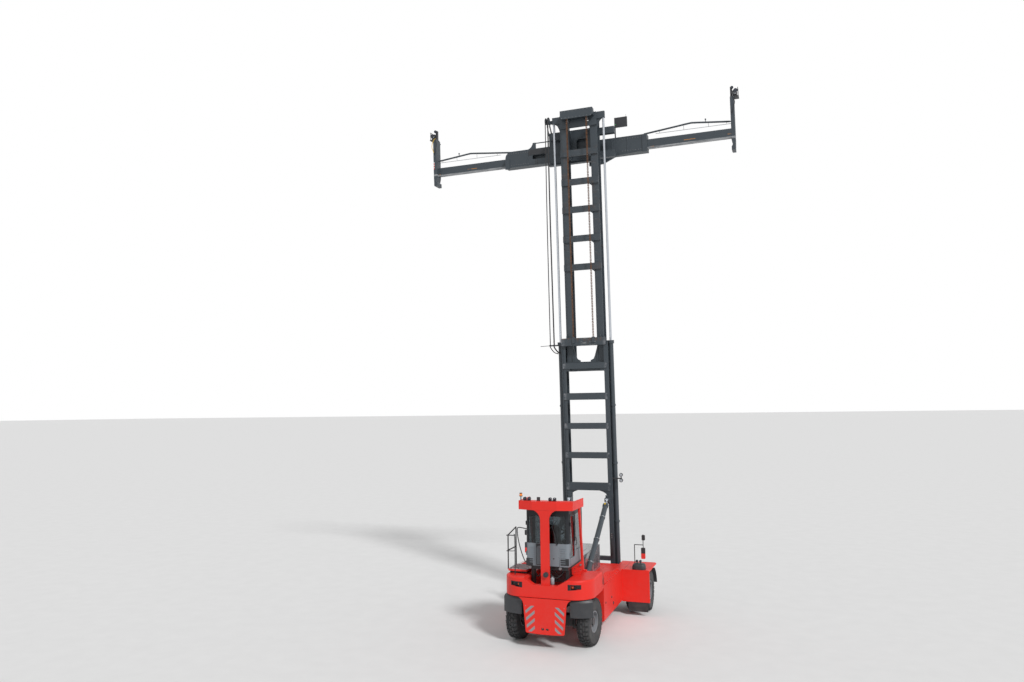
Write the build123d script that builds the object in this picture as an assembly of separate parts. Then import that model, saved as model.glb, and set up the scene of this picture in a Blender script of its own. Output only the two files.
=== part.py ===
from build123d import *
import math
import os

os.makedirs("parts", exist_ok=True)

# An empty container handler: a counterbalanced lift truck with a two-stage mast and a side-lifting spreader.
# Millimetres, +X to the right, +Y forward to the mast, +Z up.
# The origin is on the ground under the middle of the drive axle.

# Wheels and axles
TYRE_R = 685
TYRE_W = 375
RIM_R = 305
RIM_BORE_R = 285
TREAD_TEETH = 22
TREAD_DEPTH = 28
TREAD_GROOVE = 24
TREAD_HALF = 150
TWIN_GAP = 55
TRACK_OUT = 2200
WHEELBASE = 4500
KINGPIN_X = 800
STEER_OFFSET = 317
STEER_ANGLE = -5.0
AXLE_HALF_Z = 150
AXLE_HALF_Y = 150
REAR_AXLE_Y = -WHEELBASE
SPINDLE_R = 100
STUB_R = 60
PIVOT_FIT = 0.3

# Frame, deck and tanks
FRAME_Z0 = 860
FRAME_Z1 = 1470
FRAME_WALL = 60
FRAME_REAR_HALF = 240
FRAME_FRONT_HALF = 500
FRAME_REAR_Y = REAR_AXLE_Y - 850
FRAME_FRONT_Y = 130
DECK_T = 50
DECK_HALF = 1350
TANK_IN_X = 600
TANK_Z0 = 450
TANK_REAR_Y = REAR_AXLE_Y + TYRE_R + 195
TANK_FRONT_Y = -920
STEP_T = 70

# Counterweight, rear plate and mudguards
CW_TOP = 2020
CW_HALF = 1380
CW_REAR_Y = REAR_AXLE_Y - 920
CW_SIDE_Y = REAR_AXLE_Y - 350
CW_FRONT_Y = REAR_AXLE_Y + 600
CW_FLAT_HALF = 700
CW_WELL_HALF = 600
CW_REAR_WALL = 200
CW_ROUND = 55
CW_WELL_Z = 1560
NOTCH_Z = 1830
NOTCH_LOW_HALF = 355
NOTCH_TOP_HALF = 685
REAR_PLATE_T = 30
REAR_PLATE_Z0 = 440
MUDGUARD_R = 835
MUDGUARD_T = 25
MUDGUARD_Z0 = 950
TAIL_LAMP_R = 42

# Cab
CAB_HALF = 670
CAB_REAR_Y = REAR_AXLE_Y - 600
CAB_FRONT_Y = CAB_REAR_Y + 1650
CAB_ROUND = 90
CAB_Z0 = 2330
CAB_ROOF_Z = 4020
CAB_WALL = 50
SILL_Z = 3010
HEAD_Z = 3800
GLASS_T = 8
DOOR_REAR_Y = CAB_REAR_Y + 120
DOOR_FRONT_Y = DOOR_REAR_Y + 600
WINDOW_ROUND = 45
DOOR_T = 40
DOOR_GAP = 6
HINGE_R = 16
HINGE_PIN_R = 7

# Rear guard
GUARD_Z0 = 4000
GUARD_Z1 = 4260
GUARD_BAND = 30
GUARD_POST_HALF = 135
GUARD_REAR_Y = CW_REAR_Y + 70
GUARD_SIDE_Y = CW_REAR_Y + 1320

# Hood and engine
HOOD_HALF = 560
HOOD_TOP = 2300
HOOD_REAR_Y = CAB_FRONT_Y + 10
HOOD_ROUND = 24
HOOD_FRONT_Y = -750
HOOD_WALL = 25
LID_T = 32
LID_REAR_Y = HOOD_REAR_Y + 40
LID_FRONT_Y = -1450
ENGINE_FRONT_Y = -1560
ENGINE_REAR_Y = HOOD_REAR_Y + 340

# Mast
MAST_TILT = 2.774
PIVOT_Z = 1000
PIVOT_PIN_R = 50
LUG_R = 110
OUT_IN_X = 720
OUT_WEB_X0 = 822
OUT_WEB_X1 = 862
OUT_FLANGE_X = 885
OUT_Y0 = 240
OUT_Y1 = 650
OUT_Z0 = 450
OUT_Z1 = 9500
FLANGE_T = 40
HEAD_Z0 = 9340
HEAD_Z1 = 9630
CROSS_Y1 = 345
IN_X0 = 450
IN_X1 = 712
IN_WEB_X0 = 600
IN_WEB_X1 = 640
IN_Y0 = 400
IN_Y1 = 860
IN_Z0 = 8400
IN_Z1 = 18050
IN_CROSS_Y0 = 352
ROLLER_GAP = 0.3
SEAT_GAP = 0.3
LIFT_X = 955
LIFT_Y = 450
LIFT_BARREL_R = 88
LIFT_BORE_R = 47
LIFT_ROD_R = 42
LIFT_FOOT_Z = 1150
LIFT_COLLAR_R = 118
ROD_LOW_Z = 9200
CHAIN_X = 375
CHAIN_W = 60
CHAIN_T = 20
SHEAVE_R = 150
SHEAVE_Y = 310
SHEAVE_Z = 17900
SHEAVE_PIN_R = 30
CHAIN_Y = SHEAVE_Y - SHEAVE_R - 10 - SEAT_GAP
HOSE_R = 16
PULLEY_R = 110
PULLEY_Y = 305
PULLEY_Z = 17900

# Tilt cylinders: base pin and rod pin in the side view
TILT_PIN_R = 35
TILT_DRIFT = 3
TILT_X = 700
TILT_BASE = (-3300, 1620)
TILT_EYE = (-60, 3740)
TILT_BARREL_R = 88
TILT_BARREL_TOP = 3600
TILT_ROD_R = 45
TILT_EYE_R = 80
TILT_EYE_W = 100

# Carriage and spreader
CARRIAGE_Z0 = 16450
CARRIAGE_Z1 = 17600
CARRIAGE_Y1 = 1100
SHIFT_X = -460
BOX_HALF = 2850
BOX_Z0 = 16650
BOX_Z1 = 17300
BOX_Y0 = 1420
BOX_Y1 = 1800
BEAM_Z0 = BOX_Z0 + 80
BEAM_Z1 = BOX_Z1 - 220
BEAM_T = 140
BEAM_GAP = 5
SKIN = 20
ARM_END_X = 5980
ARM_IN_X = 250
FLANGE_OUT = 30
PIPE_R = 22
FOOT_Z = 16300
LIFT_PIN_Z = 18200
LIFT_PIN_R = 28


def box(x0, x1, y0, y1, z0, z1):
    return Pos((x0 + x1) / 2, (y0 + y1) / 2, (z0 + z1) / 2) * Box(abs(x1 - x0), abs(y1 - y0), abs(z1 - z0))


def rod_x(x0, x1, y, z, radius):
    return Pos((x0 + x1) / 2, y, z) * Rot(0, 90, 0) * Cylinder(radius, abs(x1 - x0))


def rod_y(x, y0, y1, z, radius):
    return Pos(x, (y0 + y1) / 2, z) * Rot(90, 0, 0) * Cylinder(radius, abs(y1 - y0))


def rod_z(x, y, z0, z1, radius):
    return Pos(x, y, (z0 + z1) / 2) * Cylinder(radius, abs(z1 - z0))


def rod(start, end, radius):
    run = Vector(*end) - Vector(*start)
    along = (Align.CENTER, Align.CENTER, Align.MIN)
    return Plane(origin=start, z_dir=run) * Cylinder(radius, run.length, align=along)


def side_plate(points, x0, x1):
    plane = Plane(origin=(x0, 0, 0), x_dir=(0, 1, 0), z_dir=(1, 0, 0))
    return extrude(plane * Polygon(*points, align=None), amount=x1 - x0)


def rear_plate(points, y0, y1):
    plane = Plane(origin=(0, y1, 0), x_dir=(1, 0, 0), z_dir=(0, -1, 0))
    return extrude(plane * Polygon(*points, align=None), amount=y1 - y0)


def flat_plate(points, z0, z1):
    return extrude(Plane.XY.offset(z0) * Polygon(*points, align=None), amount=z1 - z0)


def turned(stations, sides):
    rings = []
    for x, radius in stations:
        plane = Plane(origin=(x, 0, 0), x_dir=(0, 1, 0), z_dir=(1, 0, 0))
        rings.append(plane * Rot(0, 0, 90) * RegularPolygon(radius, sides))
    return loft(rings, ruled=True)


def rear_shape(face, y0, y1):
    return extrude(Plane(origin=(0, y1, 0), x_dir=(1, 0, 0), z_dir=(0, -1, 0)) * face, amount=y1 - y0)


def mirrored(points):
    return points + [(-x, y) for x, y in reversed(points)]


def other_side(solid):
    return mirror(solid, about=Plane.YZ)


def both(solid):
    return solid + other_side(solid)


def in_mast(solid):
    return solid.rotate(Axis((0, 0, PIVOT_Z), (1, 0, 0)), MAST_TILT)


def write(name, *solids):
    shape = solids[0] if len(solids) == 1 else Compound(children=list(solids))
    export_step(shape, "parts/" + name + ".step")


# Tyre: a faceted carcass with a full sidewall, and two bands of lugs set half a pitch apart
PITCH = 360 / TREAD_TEETH
LUG_LOW_R = TYRE_R - TREAD_DEPTH - 42
LUG_TIP_R = TYRE_R / math.cos(math.radians(0.31 * PITCH))


def lugs(x0, x1, shift):
    points = []
    for tooth in range(TREAD_TEETH):
        # columns: place in the pitch, radius
        for place, radius in [(-0.42, LUG_LOW_R), (-0.31, LUG_TIP_R), (0.31, LUG_TIP_R), (0.42, LUG_LOW_R)]:
            angle = math.radians((tooth + shift + place) * PITCH)
            points.append((radius * math.sin(angle), -radius * math.cos(angle)))
    middle = turned([(x0 - 1, LUG_LOW_R - 25), (x1 + 1, LUG_LOW_R - 25)], TREAD_TEETH)
    return side_plate(points, x0, x1) - middle


def tyre():
    half = TYRE_W / 2
    # columns of a station: place along the axle, radius
    side = [
        (half - 55, RIM_R),
        (half, RIM_R + 115),
        (half - 4, TYRE_R - 105),
        (half - 50, TYRE_R - TREAD_DEPTH),
    ]
    carcass = turned([(-x, r) for x, r in side] + [(x, r) for x, r in reversed(side)], TREAD_TEETH)
    carcass = carcass + lugs(TREAD_GROOVE / 2, TREAD_HALF, 0) + lugs(-TREAD_HALF, -TREAD_GROOVE / 2, 0.5)
    return carcass - turned([(-half, RIM_R), (half, RIM_R)], TREAD_TEETH)


def ring(x0, x1, outer, inner):
    tube = rod_x(x0, x1, 0, 0, outer)
    if inner > 0:
        tube = tube - rod_x(x0 - 1, x1 + 1, 0, 0, inner)
    return tube


def rim_seat(x0, x1):
    return turned([(x0, RIM_R), (x1, RIM_R)], TREAD_TEETH) - ring(x0 - 1, x1 + 1, RIM_BORE_R, 0)


def rim_flange(x, out):
    neck = ring(min(x - 5 * out, x + 6 * out), max(x - 5 * out, x + 6 * out), RIM_R - 8, RIM_BORE_R)
    return neck + ring(min(x + 5 * out, x + 20 * out), max(x + 5 * out, x + 20 * out), RIM_R + 4, RIM_BORE_R)


# Drive wheels: twin tyres on back-to-back rims and a common stepped hub
OUTER_X = TRACK_OUT - TYRE_W / 2
INNER_X = OUTER_X - TYRE_W - TWIN_GAP
HUB_IN_X = INNER_X - 290
SPINDLE_END_X = INNER_X - 60
bead = TYRE_W / 2 - 55
outer_tyre = Pos(OUTER_X, 0, TYRE_R) * tyre()
inner_tyre = Pos(INNER_X, 0, TYRE_R) * tyre()
disc_x = (OUTER_X + INNER_X) / 2
rims = rim_seat(OUTER_X - bead - 10, OUTER_X + bead) + rim_seat(INNER_X - bead, INNER_X + bead + 10)
rims = rims + rim_flange(OUTER_X + bead, 1) + rim_flange(INNER_X - bead, -1)
rims = rims + ring(disc_x - 85, disc_x + 85, RIM_R - 6, RIM_R - 24)
rims = rims + ring(disc_x - 22, disc_x + 22, RIM_R - 10, 0)
# hub steps, columns: inner end, outer end, radius
for x0, x1, radius in [
    (HUB_IN_X, OUTER_X - 40, 205),
    (OUTER_X - 41, OUTER_X + 20, 165),
    (OUTER_X + 19, OUTER_X + 70, 120),
]:
    rims = rims + ring(x0, x1, radius, 0)
rims = rims - ring(HUB_IN_X - 1, SPINDLE_END_X + 3, SPINDLE_R + PIVOT_FIT, 0)
drive_rims = Pos(0, 0, TYRE_R) * rims
write("drive_tyres_right", inner_tyre, outer_tyre)
write("drive_tyres_left", other_side(inner_tyre), other_side(outer_tyre))
write("drive_rims_right", drive_rims)
write("drive_rims_left", other_side(drive_rims))

# Drive axle: beam, differential housing and the spindles that carry the hubs
axle = box(-HUB_IN_X + 8, HUB_IN_X - 8, -AXLE_HALF_Y, AXLE_HALF_Y, TYRE_R - AXLE_HALF_Z, TYRE_R + AXLE_HALF_Z)
# differential housing, columns of a station: place along the axle, radius
housing = [(-330, 160), (-200, 265), (-80, 295), (80, 295), (200, 265), (330, 160)]
axle = axle + Pos(0, 0, TYRE_R) * turned(housing, 18)
axle = axle + both(rod_x(HUB_IN_X - 20, SPINDLE_END_X, 0, TYRE_R, SPINDLE_R))
PAD_X = FRAME_FRONT_HALF - FRAME_WALL / 2
axle = axle + both(box(PAD_X - 60, PAD_X + 60, -120, 120, TYRE_R + AXLE_HALF_Z - 5, FRAME_Z0))
axle = axle + rod_y(0, -560, -280, TYRE_R + 30, 70)
write("drive_axle", axle)

# Steer axle: beam with trunnions and two yokes that hold the kingpins
STEER_Y = REAR_AXLE_Y
beam = box(-620, 620, STEER_Y - 160, STEER_Y + 160, TYRE_R - 150, TYRE_R + 150)
beam = beam + rod_y(0, STEER_Y - 240, STEER_Y + 240, TYRE_R, 70)
yoke = box(600, 690, STEER_Y - 100, STEER_Y + 100, TYRE_R - 235, TYRE_R + 235)
for z0, z1 in [(TYRE_R - 235, TYRE_R - 155), (TYRE_R + 155, TYRE_R + 235)]:
    yoke = yoke + box(680, KINGPIN_X, STEER_Y - 100, STEER_Y + 100, z0, z1)
    yoke = yoke + rod_z(KINGPIN_X, STEER_Y, z0, z1, 100)
yoke = yoke - rod_z(KINGPIN_X, STEER_Y, TYRE_R - 300, TYRE_R + 300, 35 + PIVOT_FIT)
write("steer_axle", beam + both(yoke))

# Knuckle: kingpin, body between the yoke's arms and the stub that carries the wheel
STUB_END_X = KINGPIN_X + STEER_OFFSET + 60
knuckle = rod_z(KINGPIN_X, STEER_Y, TYRE_R - 245, TYRE_R + 245, 35)
knuckle = knuckle + rod_z(KINGPIN_X, STEER_Y, TYRE_R - 150, TYRE_R + 150, 95)
knuckle = knuckle + box(KINGPIN_X, KINGPIN_X + 115, STEER_Y - 85, STEER_Y + 85, TYRE_R - 85, TYRE_R + 85)
knuckle = knuckle + rod_x(KINGPIN_X + 110, STUB_END_X, STEER_Y, TYRE_R, STUB_R)
steer_right = Axis((KINGPIN_X, STEER_Y, 0), (0, 0, 1))
steer_left = Axis((-KINGPIN_X, STEER_Y, 0), (0, 0, 1))
write("knuckle_right", knuckle.rotate(steer_right, STEER_ANGLE))
write("knuckle_left", other_side(knuckle).rotate(steer_left, STEER_ANGLE))

STEER_X = KINGPIN_X + STEER_OFFSET
steer_tyre = Pos(STEER_X, STEER_Y, TYRE_R) * tyre()
rim = rim_seat(-bead, bead) + rim_flange(bead, 1) + rim_flange(-bead, -1)
# dish and hub steps, columns: inner end, outer end, radius
for x0, x1, radius in [
    (bead - 112, bead - 86, RIM_BORE_R + 4),
    (-65, bead - 50, 150),
    (bead - 51, bead - 4, 112),
]:
    rim = rim + ring(x0, x1, radius, 0)
rim = rim - ring(-66, 63, STUB_R + PIVOT_FIT, 0)
steer_rim = Pos(STEER_X, STEER_Y, TYRE_R) * rim
write("steer_tyre_right", steer_tyre.rotate(steer_right, STEER_ANGLE))
write("steer_tyre_left", other_side(steer_tyre).rotate(steer_left, STEER_ANGLE))
write("steer_rim_right", steer_rim.rotate(steer_right, STEER_ANGLE))
write("steer_rim_left", other_side(steer_rim).rotate(steer_left, STEER_ANGLE))

# Frame: two side plates that widen forward, cross members and the pivots of axle and mast
plan = [
    (FRAME_REAR_HALF, FRAME_REAR_Y),
    (FRAME_REAR_HALF, REAR_AXLE_Y + 750),
    (FRAME_FRONT_HALF, REAR_AXLE_Y + 1050),
    (FRAME_FRONT_HALF, FRAME_FRONT_Y),
]
hollow = [
    (FRAME_REAR_HALF - FRAME_WALL, FRAME_REAR_Y + FRAME_WALL),
    (FRAME_REAR_HALF - FRAME_WALL, REAR_AXLE_Y + 775),
    (FRAME_FRONT_HALF - FRAME_WALL, REAR_AXLE_Y + 1075),
    (FRAME_FRONT_HALF - FRAME_WALL, -380),
]
frame = flat_plate(mirrored(plan), FRAME_Z0, FRAME_Z1)
frame = frame - flat_plate(mirrored(hollow), FRAME_Z0 - 1, FRAME_Z1 + 1)
frame = frame - box(-440, 440, -320, FRAME_FRONT_Y + 1, FRAME_Z0 - 1, FRAME_Z1 + 1)
inner_half = FRAME_REAR_HALF - FRAME_WALL + 2
frame = frame + box(-inner_half, inner_half, STEER_Y - 300, STEER_Y + 300, FRAME_Z0, FRAME_Z0 + 220)
hanger = box(-180, 180, 175, 235, 600, FRAME_Z0 + 5) - rod_y(0, 170, 240, TYRE_R, 70 + PIVOT_FIT)
frame = frame + Pos(0, STEER_Y, 0) * hanger
frame = frame + Pos(0, STEER_Y, 0) * mirror(hanger, about=Plane.XZ)
bracket = [
    (-380, FRAME_Z0),
    (60, FRAME_Z0),
    (130, 940),
    (130, 1060),
    (40, 1240),
    (-380, FRAME_Z1),
]
for x0, x1 in [(650, 700), (900, 950)]:
    cheek = side_plate(bracket, x0, x1)
    frame = frame + both(cheek)
frame = frame + both(box(FRAME_FRONT_HALF - 5, 950, -380, -320, FRAME_Z0, FRAME_Z1))
frame = frame + both(rod_x(650, 950, 0, PIVOT_Z, PIVOT_PIN_R))
write("chassis_frame", frame)

# Tanks under the deck on both sides, closed boxes with rounded lower edges
tank = box(TANK_IN_X, DECK_HALF, TANK_REAR_Y, TANK_FRONT_Y, TANK_Z0, FRAME_Z1)
tank = fillet(tank.edges().filter_by(Axis.Y).sort_by(Axis.Z)[:2], 40)
write("side_tanks", both(tank))

# Deck over frame and tanks, open over the engine bay
deck = box(-DECK_HALF, DECK_HALF, CW_FRONT_Y + 10, TANK_FRONT_Y, FRAME_Z1, FRAME_Z1 + DECK_T)
deck = deck + box(-1070, 1070, TANK_FRONT_Y - 1, -60, FRAME_Z1, FRAME_Z1 + DECK_T)
deck = deck - box(-430, 430, HOOD_REAR_Y + 60, -800, FRAME_Z1 - 1, FRAME_Z1 + DECK_T + 1)
DECK_TOP = FRAME_Z1 + DECK_T
EAR_IN = TILT_EYE_W / 2 + SEAT_GAP
for x0, x1 in [(TILT_X - 85, TILT_X - EAR_IN), (TILT_X + EAR_IN, TILT_X + 85)]:
    ear = side_plate([(-3420, DECK_TOP - 5), (-3180, DECK_TOP - 5), (-3230, 1690), (-3370, 1690)], x0, x1)
    deck = deck + both(ear)
deck = deck + both(rod_x(TILT_X - 85, TILT_X + 85, TILT_BASE[0], TILT_BASE[1], TILT_PIN_R))
write("deck", deck)

# Counterweight: its rear corners sweep round to the sides, its upper edges are rounded, and it has a notch,
# a well in the middle and two rounded pockets for the tail lamps
swell_x = CW_FLAT_HALF + 0.7071 * (CW_HALF - CW_FLAT_HALF)
swell_y = CW_SIDE_Y - 0.7071 * (CW_SIDE_Y - CW_REAR_Y)
plan = Polyline((-CW_HALF, CW_SIDE_Y), (-CW_HALF, CW_FRONT_Y), (CW_HALF, CW_FRONT_Y), (CW_HALF, CW_SIDE_Y))
plan = plan + ThreePointArc((CW_HALF, CW_SIDE_Y), (swell_x, swell_y), (CW_FLAT_HALF, CW_REAR_Y))
plan = plan + Line((CW_FLAT_HALF, CW_REAR_Y), (-CW_FLAT_HALF, CW_REAR_Y))
plan = plan + ThreePointArc((-CW_FLAT_HALF, CW_REAR_Y), (-swell_x, swell_y), (-CW_HALF, CW_SIDE_Y))
weight = extrude(Plane.XY.offset(FRAME_Z1) * make_face(plan), amount=CW_TOP - FRAME_Z1)
upper = [e for e in weight.edges().group_by(Axis.Z)[-1] if e.center().Y < CW_FRONT_Y - 10]
weight = fillet(upper, CW_ROUND)
notch = mirrored([(NOTCH_LOW_HALF, NOTCH_Z), (NOTCH_TOP_HALF, CW_TOP + 1)])
weight = weight - rear_plate(notch, CW_REAR_Y - 1, CW_REAR_Y + 1000)
well_y = CW_REAR_Y + CW_REAR_WALL
weight = weight - box(-CW_WELL_HALF, CW_WELL_HALF, well_y, CW_FRONT_Y + 1, CW_WELL_Z, CW_TOP + 1)
POCKET_X = 900
POCKET_Y = CW_REAR_Y + 130
pocket = box(POCKET_X - 150, POCKET_X + 150, CW_REAR_Y, POCKET_Y, 1760, 1880)
pocket = fillet(pocket.edges().filter_by(Axis.Y), 50)
weight = weight - both(pocket)
write("counterweight", weight)

# Rear plate between the tyres: flared upper corners, a bowed lower edge and two towing slots
apron = Polyline((590, REAR_PLATE_Z0 + 25), (660, 1250))
apron = apron + ThreePointArc((660, 1250), (701, 1377), (800, 1460)) + Line((800, 1460), (-800, 1460))
apron = apron + ThreePointArc((-800, 1460), (-701, 1377), (-660, 1250))
apron = apron + Line((-660, 1250), (-590, REAR_PLATE_Z0 + 25))
apron = apron + ThreePointArc((-590, REAR_PLATE_Z0 + 25), (0, REAR_PLATE_Z0), (590, REAR_PLATE_Z0 + 25))
apron = rear_shape(make_face(apron), CW_REAR_Y - REAR_PLATE_T - 10, CW_REAR_Y - 10)
apron = fillet(apron.edges().filter_by(Axis.Y).group_by(Axis.Z)[0], 45)
apron = apron + box(-200, 200, CW_REAR_Y - 15, FRAME_REAR_Y, 900, 1440)
for x in (-70, 70):
    slot = box(x - 45, x + 45, CW_REAR_Y - 60, CW_REAR_Y, 560, 620)
    apron = apron - fillet(slot.edges().filter_by(Axis.Y), 22)
write("rear_plate", apron)

# Rear mudguards: shells turned about the kingpins, with a shoulder that closes in over the tyre
OUT_R = MUDGUARD_R + MUDGUARD_T
shoulder = [
    (MUDGUARD_R, MUDGUARD_Z0),
    (OUT_R, MUDGUARD_Z0),
    (OUT_R, FRAME_Z1 - 90),
    (OUT_R - 30, FRAME_Z1 - 30),
    (OUT_R - 90, FRAME_Z1),
    (MUDGUARD_R - 160, FRAME_Z1),
    (MUDGUARD_R - 160, FRAME_Z1 - MUDGUARD_T),
    (MUDGUARD_R - 70, FRAME_Z1 - MUDGUARD_T),
    (MUDGUARD_R, FRAME_Z1 - 95),
]
shell = revolve(Plane.XZ * Polygon(*shoulder, align=None), Axis.Z)
wedge = [(-60, -1), (-60, -1000), (915, -1000), (0, -1)]
shell = Pos(KINGPIN_X, STEER_Y, 0) * (shell & flat_plate(wedge, MUDGUARD_Z0, FRAME_Z1))
write("rear_mudguards", both(shell))

# Tail lamps in the counterweight's pockets: a plate with rounded ends and a round lamp at its inner end
plate = fillet(box(770, 1030, POCKET_Y - 10, POCKET_Y, 1768, 1872).edges().filter_by(Axis.Y), 45)
lamp = plate + rod_y(825, POCKET_Y - 35, POCKET_Y - 9, 1820, TAIL_LAMP_R)
write("tail_lamps", both(lamp))

# Rear guard: a faceted band at roof height on one rear post and two side posts
band_out = [(390, GUARD_REAR_Y), (850, GUARD_REAR_Y + 120), (880, GUARD_SIDE_Y)]
band_in = [(375, GUARD_REAR_Y + GUARD_BAND), (820, GUARD_REAR_Y + 146), (850, GUARD_SIDE_Y + 1)]
band = flat_plate(mirrored(band_out), GUARD_Z0, GUARD_Z1)
band = band - flat_plate(mirrored(band_in), GUARD_Z0 - 1, GUARD_Z1 + 1)
lid_plan = mirrored([(375, GUARD_REAR_Y + 28), (820, GUARD_REAR_Y + 144), (845, GUARD_REAR_Y + 350)])
guard = band + flat_plate(lid_plan, GUARD_Z1 - GUARD_BAND, GUARD_Z1)
POST_Y = CW_REAR_Y + 75
half = GUARD_POST_HALF
tee = Polyline((-half, 3700), (-half, NOTCH_Z), (half, NOTCH_Z), (half, 3700))
tee = tee + ThreePointArc((half, 3700), (205, 3900), (390, 4010)) + Line((390, 4010), (-390, 4010))
tee = tee + ThreePointArc((-390, 4010), (-205, 3900), (-half, 3700))
guard = guard + rear_shape(make_face(tee), POST_Y, POST_Y + 60)
guard = guard + rear_plate(mirrored([(110, NOTCH_Z), (110, 3800)]), POST_Y, POST_Y + 90)
STRUT_FOOT_Y = CW_REAR_Y + 1410
strut = [
    (STRUT_FOOT_Y - 340, GUARD_Z0 + 5),
    (STRUT_FOOT_Y - 240, GUARD_Z0 + 5),
    (STRUT_FOOT_Y + 100, CW_TOP),
    (STRUT_FOOT_Y, CW_TOP),
]
guard = guard + both(side_plate(strut, 820, 880))
guard = guard + both(box(800, 900, STRUT_FOOT_Y - 20, STRUT_FOOT_Y + 120, CW_TOP, CW_TOP + 40))
write("rear_guard", guard)

# Lamps on the guard: a beacon on a stalk, two twin lamps, a small bracket, and a camera on the post
BEACON_Y = GUARD_REAR_Y + 200
beacon = rod_z(-800, BEACON_Y, GUARD_Z1, GUARD_Z1 + 130, 15)
beacon = beacon + rod_z(-800, BEACON_Y, GUARD_Z1 + 120, GUARD_Z1 + 140, 55)
beacon = beacon + rod_z(-800, BEACON_Y, GUARD_Z1 + 139, GUARD_Z1 + 225, 42)
lamps = [beacon]
for x in (-600, 200):
    pair = box(x - 120, x + 120, BEACON_Y - 30, BEACON_Y + 10, GUARD_Z1, GUARD_Z1 + 25)
    for step in (-70, 70):
        pair = pair + rod_y(x + step, BEACON_Y - 40, BEACON_Y + 30, GUARD_Z1 + 60, 48)
    lamps.append(pair)
lamps.append(box(-290, -190, BEACON_Y - 10, BEACON_Y + 20, GUARD_Z1, GUARD_Z1 + 110))
lamps.append(rod_y(30, CW_REAR_Y, POST_Y, 2140, 75))
write("guard_lamps", *lamps)

# Cab mount: two rails on four pads over the counterweight and the deck
mount = box(-620, -480, CAB_REAR_Y + 60, CAB_FRONT_Y - 60, CAB_Z0 - 110, CAB_Z0)
mount = mount + other_side(mount)
for y in (CAB_REAR_Y + 60, CAB_FRONT_Y - 180):
    mount = mount + box(-500, 500, y, y + 120, CAB_Z0 - 110, CAB_Z0)
for y0, y1, z0 in [
    (CAB_REAR_Y + 250, CAB_REAR_Y + 400, CW_WELL_Z),
    (CAB_FRONT_Y - 310, CAB_FRONT_Y - 170, DECK_TOP),
]:
    mount = mount + both(box(490, 590, y0, y1, z0, CAB_Z0 - 100))
write("cab_mount", mount)

# Cab: floor, walls and roof as one welded shell, with rounded corners, windows and door openings cut
cab = box(-CAB_HALF, CAB_HALF, CAB_REAR_Y, CAB_FRONT_Y, CAB_Z0, CAB_ROOF_Z)
cab = fillet(cab.edges().filter_by(Axis.Z), CAB_ROUND)
cab = fillet(cab.edges().group_by(Axis.Z)[-1], 35)
room = box(
    -CAB_HALF + CAB_WALL,
    CAB_HALF - CAB_WALL,
    CAB_REAR_Y + CAB_WALL,
    CAB_FRONT_Y - CAB_WALL,
    CAB_Z0 + CAB_WALL,
    CAB_ROOF_Z - CAB_WALL,
)
cab = cab - room
SIDE_WIN_Y0 = DOOR_FRONT_Y + 70
SIDE_WIN_Y1 = CAB_FRONT_Y - 110
WIN_X = CAB_HALF - 90
FRONT_SILL_Z = 2650
SIDE_SILL_Z = 2700
# windows: box, the axis that it is cut along
for window, axis in [
    (box(-WIN_X, WIN_X, CAB_REAR_Y - 1, CAB_REAR_Y + CAB_WALL + 1, SILL_Z, HEAD_Z), Axis.Y),
    (box(-WIN_X, WIN_X, CAB_FRONT_Y - CAB_WALL - 1, CAB_FRONT_Y + 1, FRONT_SILL_Z, HEAD_Z), Axis.Y),
    (box(-CAB_HALF - 1, CAB_HALF + 1, SIDE_WIN_Y0, SIDE_WIN_Y1, SIDE_SILL_Z, HEAD_Z), Axis.X),
    (box(-380, 380, CAB_REAR_Y + 800, CAB_FRONT_Y - 250, CAB_ROOF_Z - CAB_WALL - 1, CAB_ROOF_Z + 1), Axis.Z),
]:
    cab = cab - fillet(window.edges().filter_by(axis), WINDOW_ROUND)
cab = cab - box(-CAB_HALF - 1, CAB_HALF + 1, DOOR_REAR_Y, DOOR_FRONT_Y, CAB_Z0 + CAB_WALL, HEAD_Z + 60)
hatch = box(-340, 340, CAB_REAR_Y - 8, CAB_REAR_Y + 1, CAB_Z0 + 50, SILL_Z - 90)
cab = cab + fillet(hatch.edges().filter_by(Axis.Y).group_by(Axis.Z)[-1], 90)
for z in range(CAB_Z0 + 90, SILL_Z - 120, 62):
    cab = cab + both(box(400, 560, CAB_REAR_Y - 10, CAB_REAR_Y + 1, z, z + 26))
HINGE_X = CAB_HALF + 10 + HINGE_R
HINGE_Y = DOOR_REAR_Y - HINGE_R
for z in (2700, 3600):
    pin = rod_z(HINGE_X, HINGE_Y, z - 90, z - 31, HINGE_R)
    pin = pin + box(CAB_HALF - 10, HINGE_X, HINGE_Y - HINGE_R, HINGE_Y, z - 90, z - 31)
    pin = pin + rod_z(HINGE_X, HINGE_Y, z - 90, z + 30, HINGE_PIN_R)
    cab = cab + both(pin)
write("cab_body", cab)

panes = [
    (box(-WIN_X, WIN_X, CAB_REAR_Y + 20, CAB_REAR_Y + 20 + GLASS_T, SILL_Z, HEAD_Z), Axis.Y),
    (box(-WIN_X, WIN_X, CAB_FRONT_Y - 20 - GLASS_T, CAB_FRONT_Y - 20, FRONT_SILL_Z, HEAD_Z), Axis.Y),
    (box(CAB_HALF - 20 - GLASS_T, CAB_HALF - 20, SIDE_WIN_Y0, SIDE_WIN_Y1, SIDE_SILL_Z, HEAD_Z), Axis.X),
    (box(-CAB_HALF + 20, -CAB_HALF + 20 + GLASS_T, SIDE_WIN_Y0, SIDE_WIN_Y1, SIDE_SILL_Z, HEAD_Z), Axis.X),
    (box(-380, 380, CAB_REAR_Y + 800, CAB_FRONT_Y - 250, CAB_ROOF_Z - 30, CAB_ROOF_Z - 30 + GLASS_T), Axis.Z),
]
write("cab_glass", *[fillet(pane.edges().filter_by(axis), WINDOW_ROUND) for pane, axis in panes])

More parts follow.
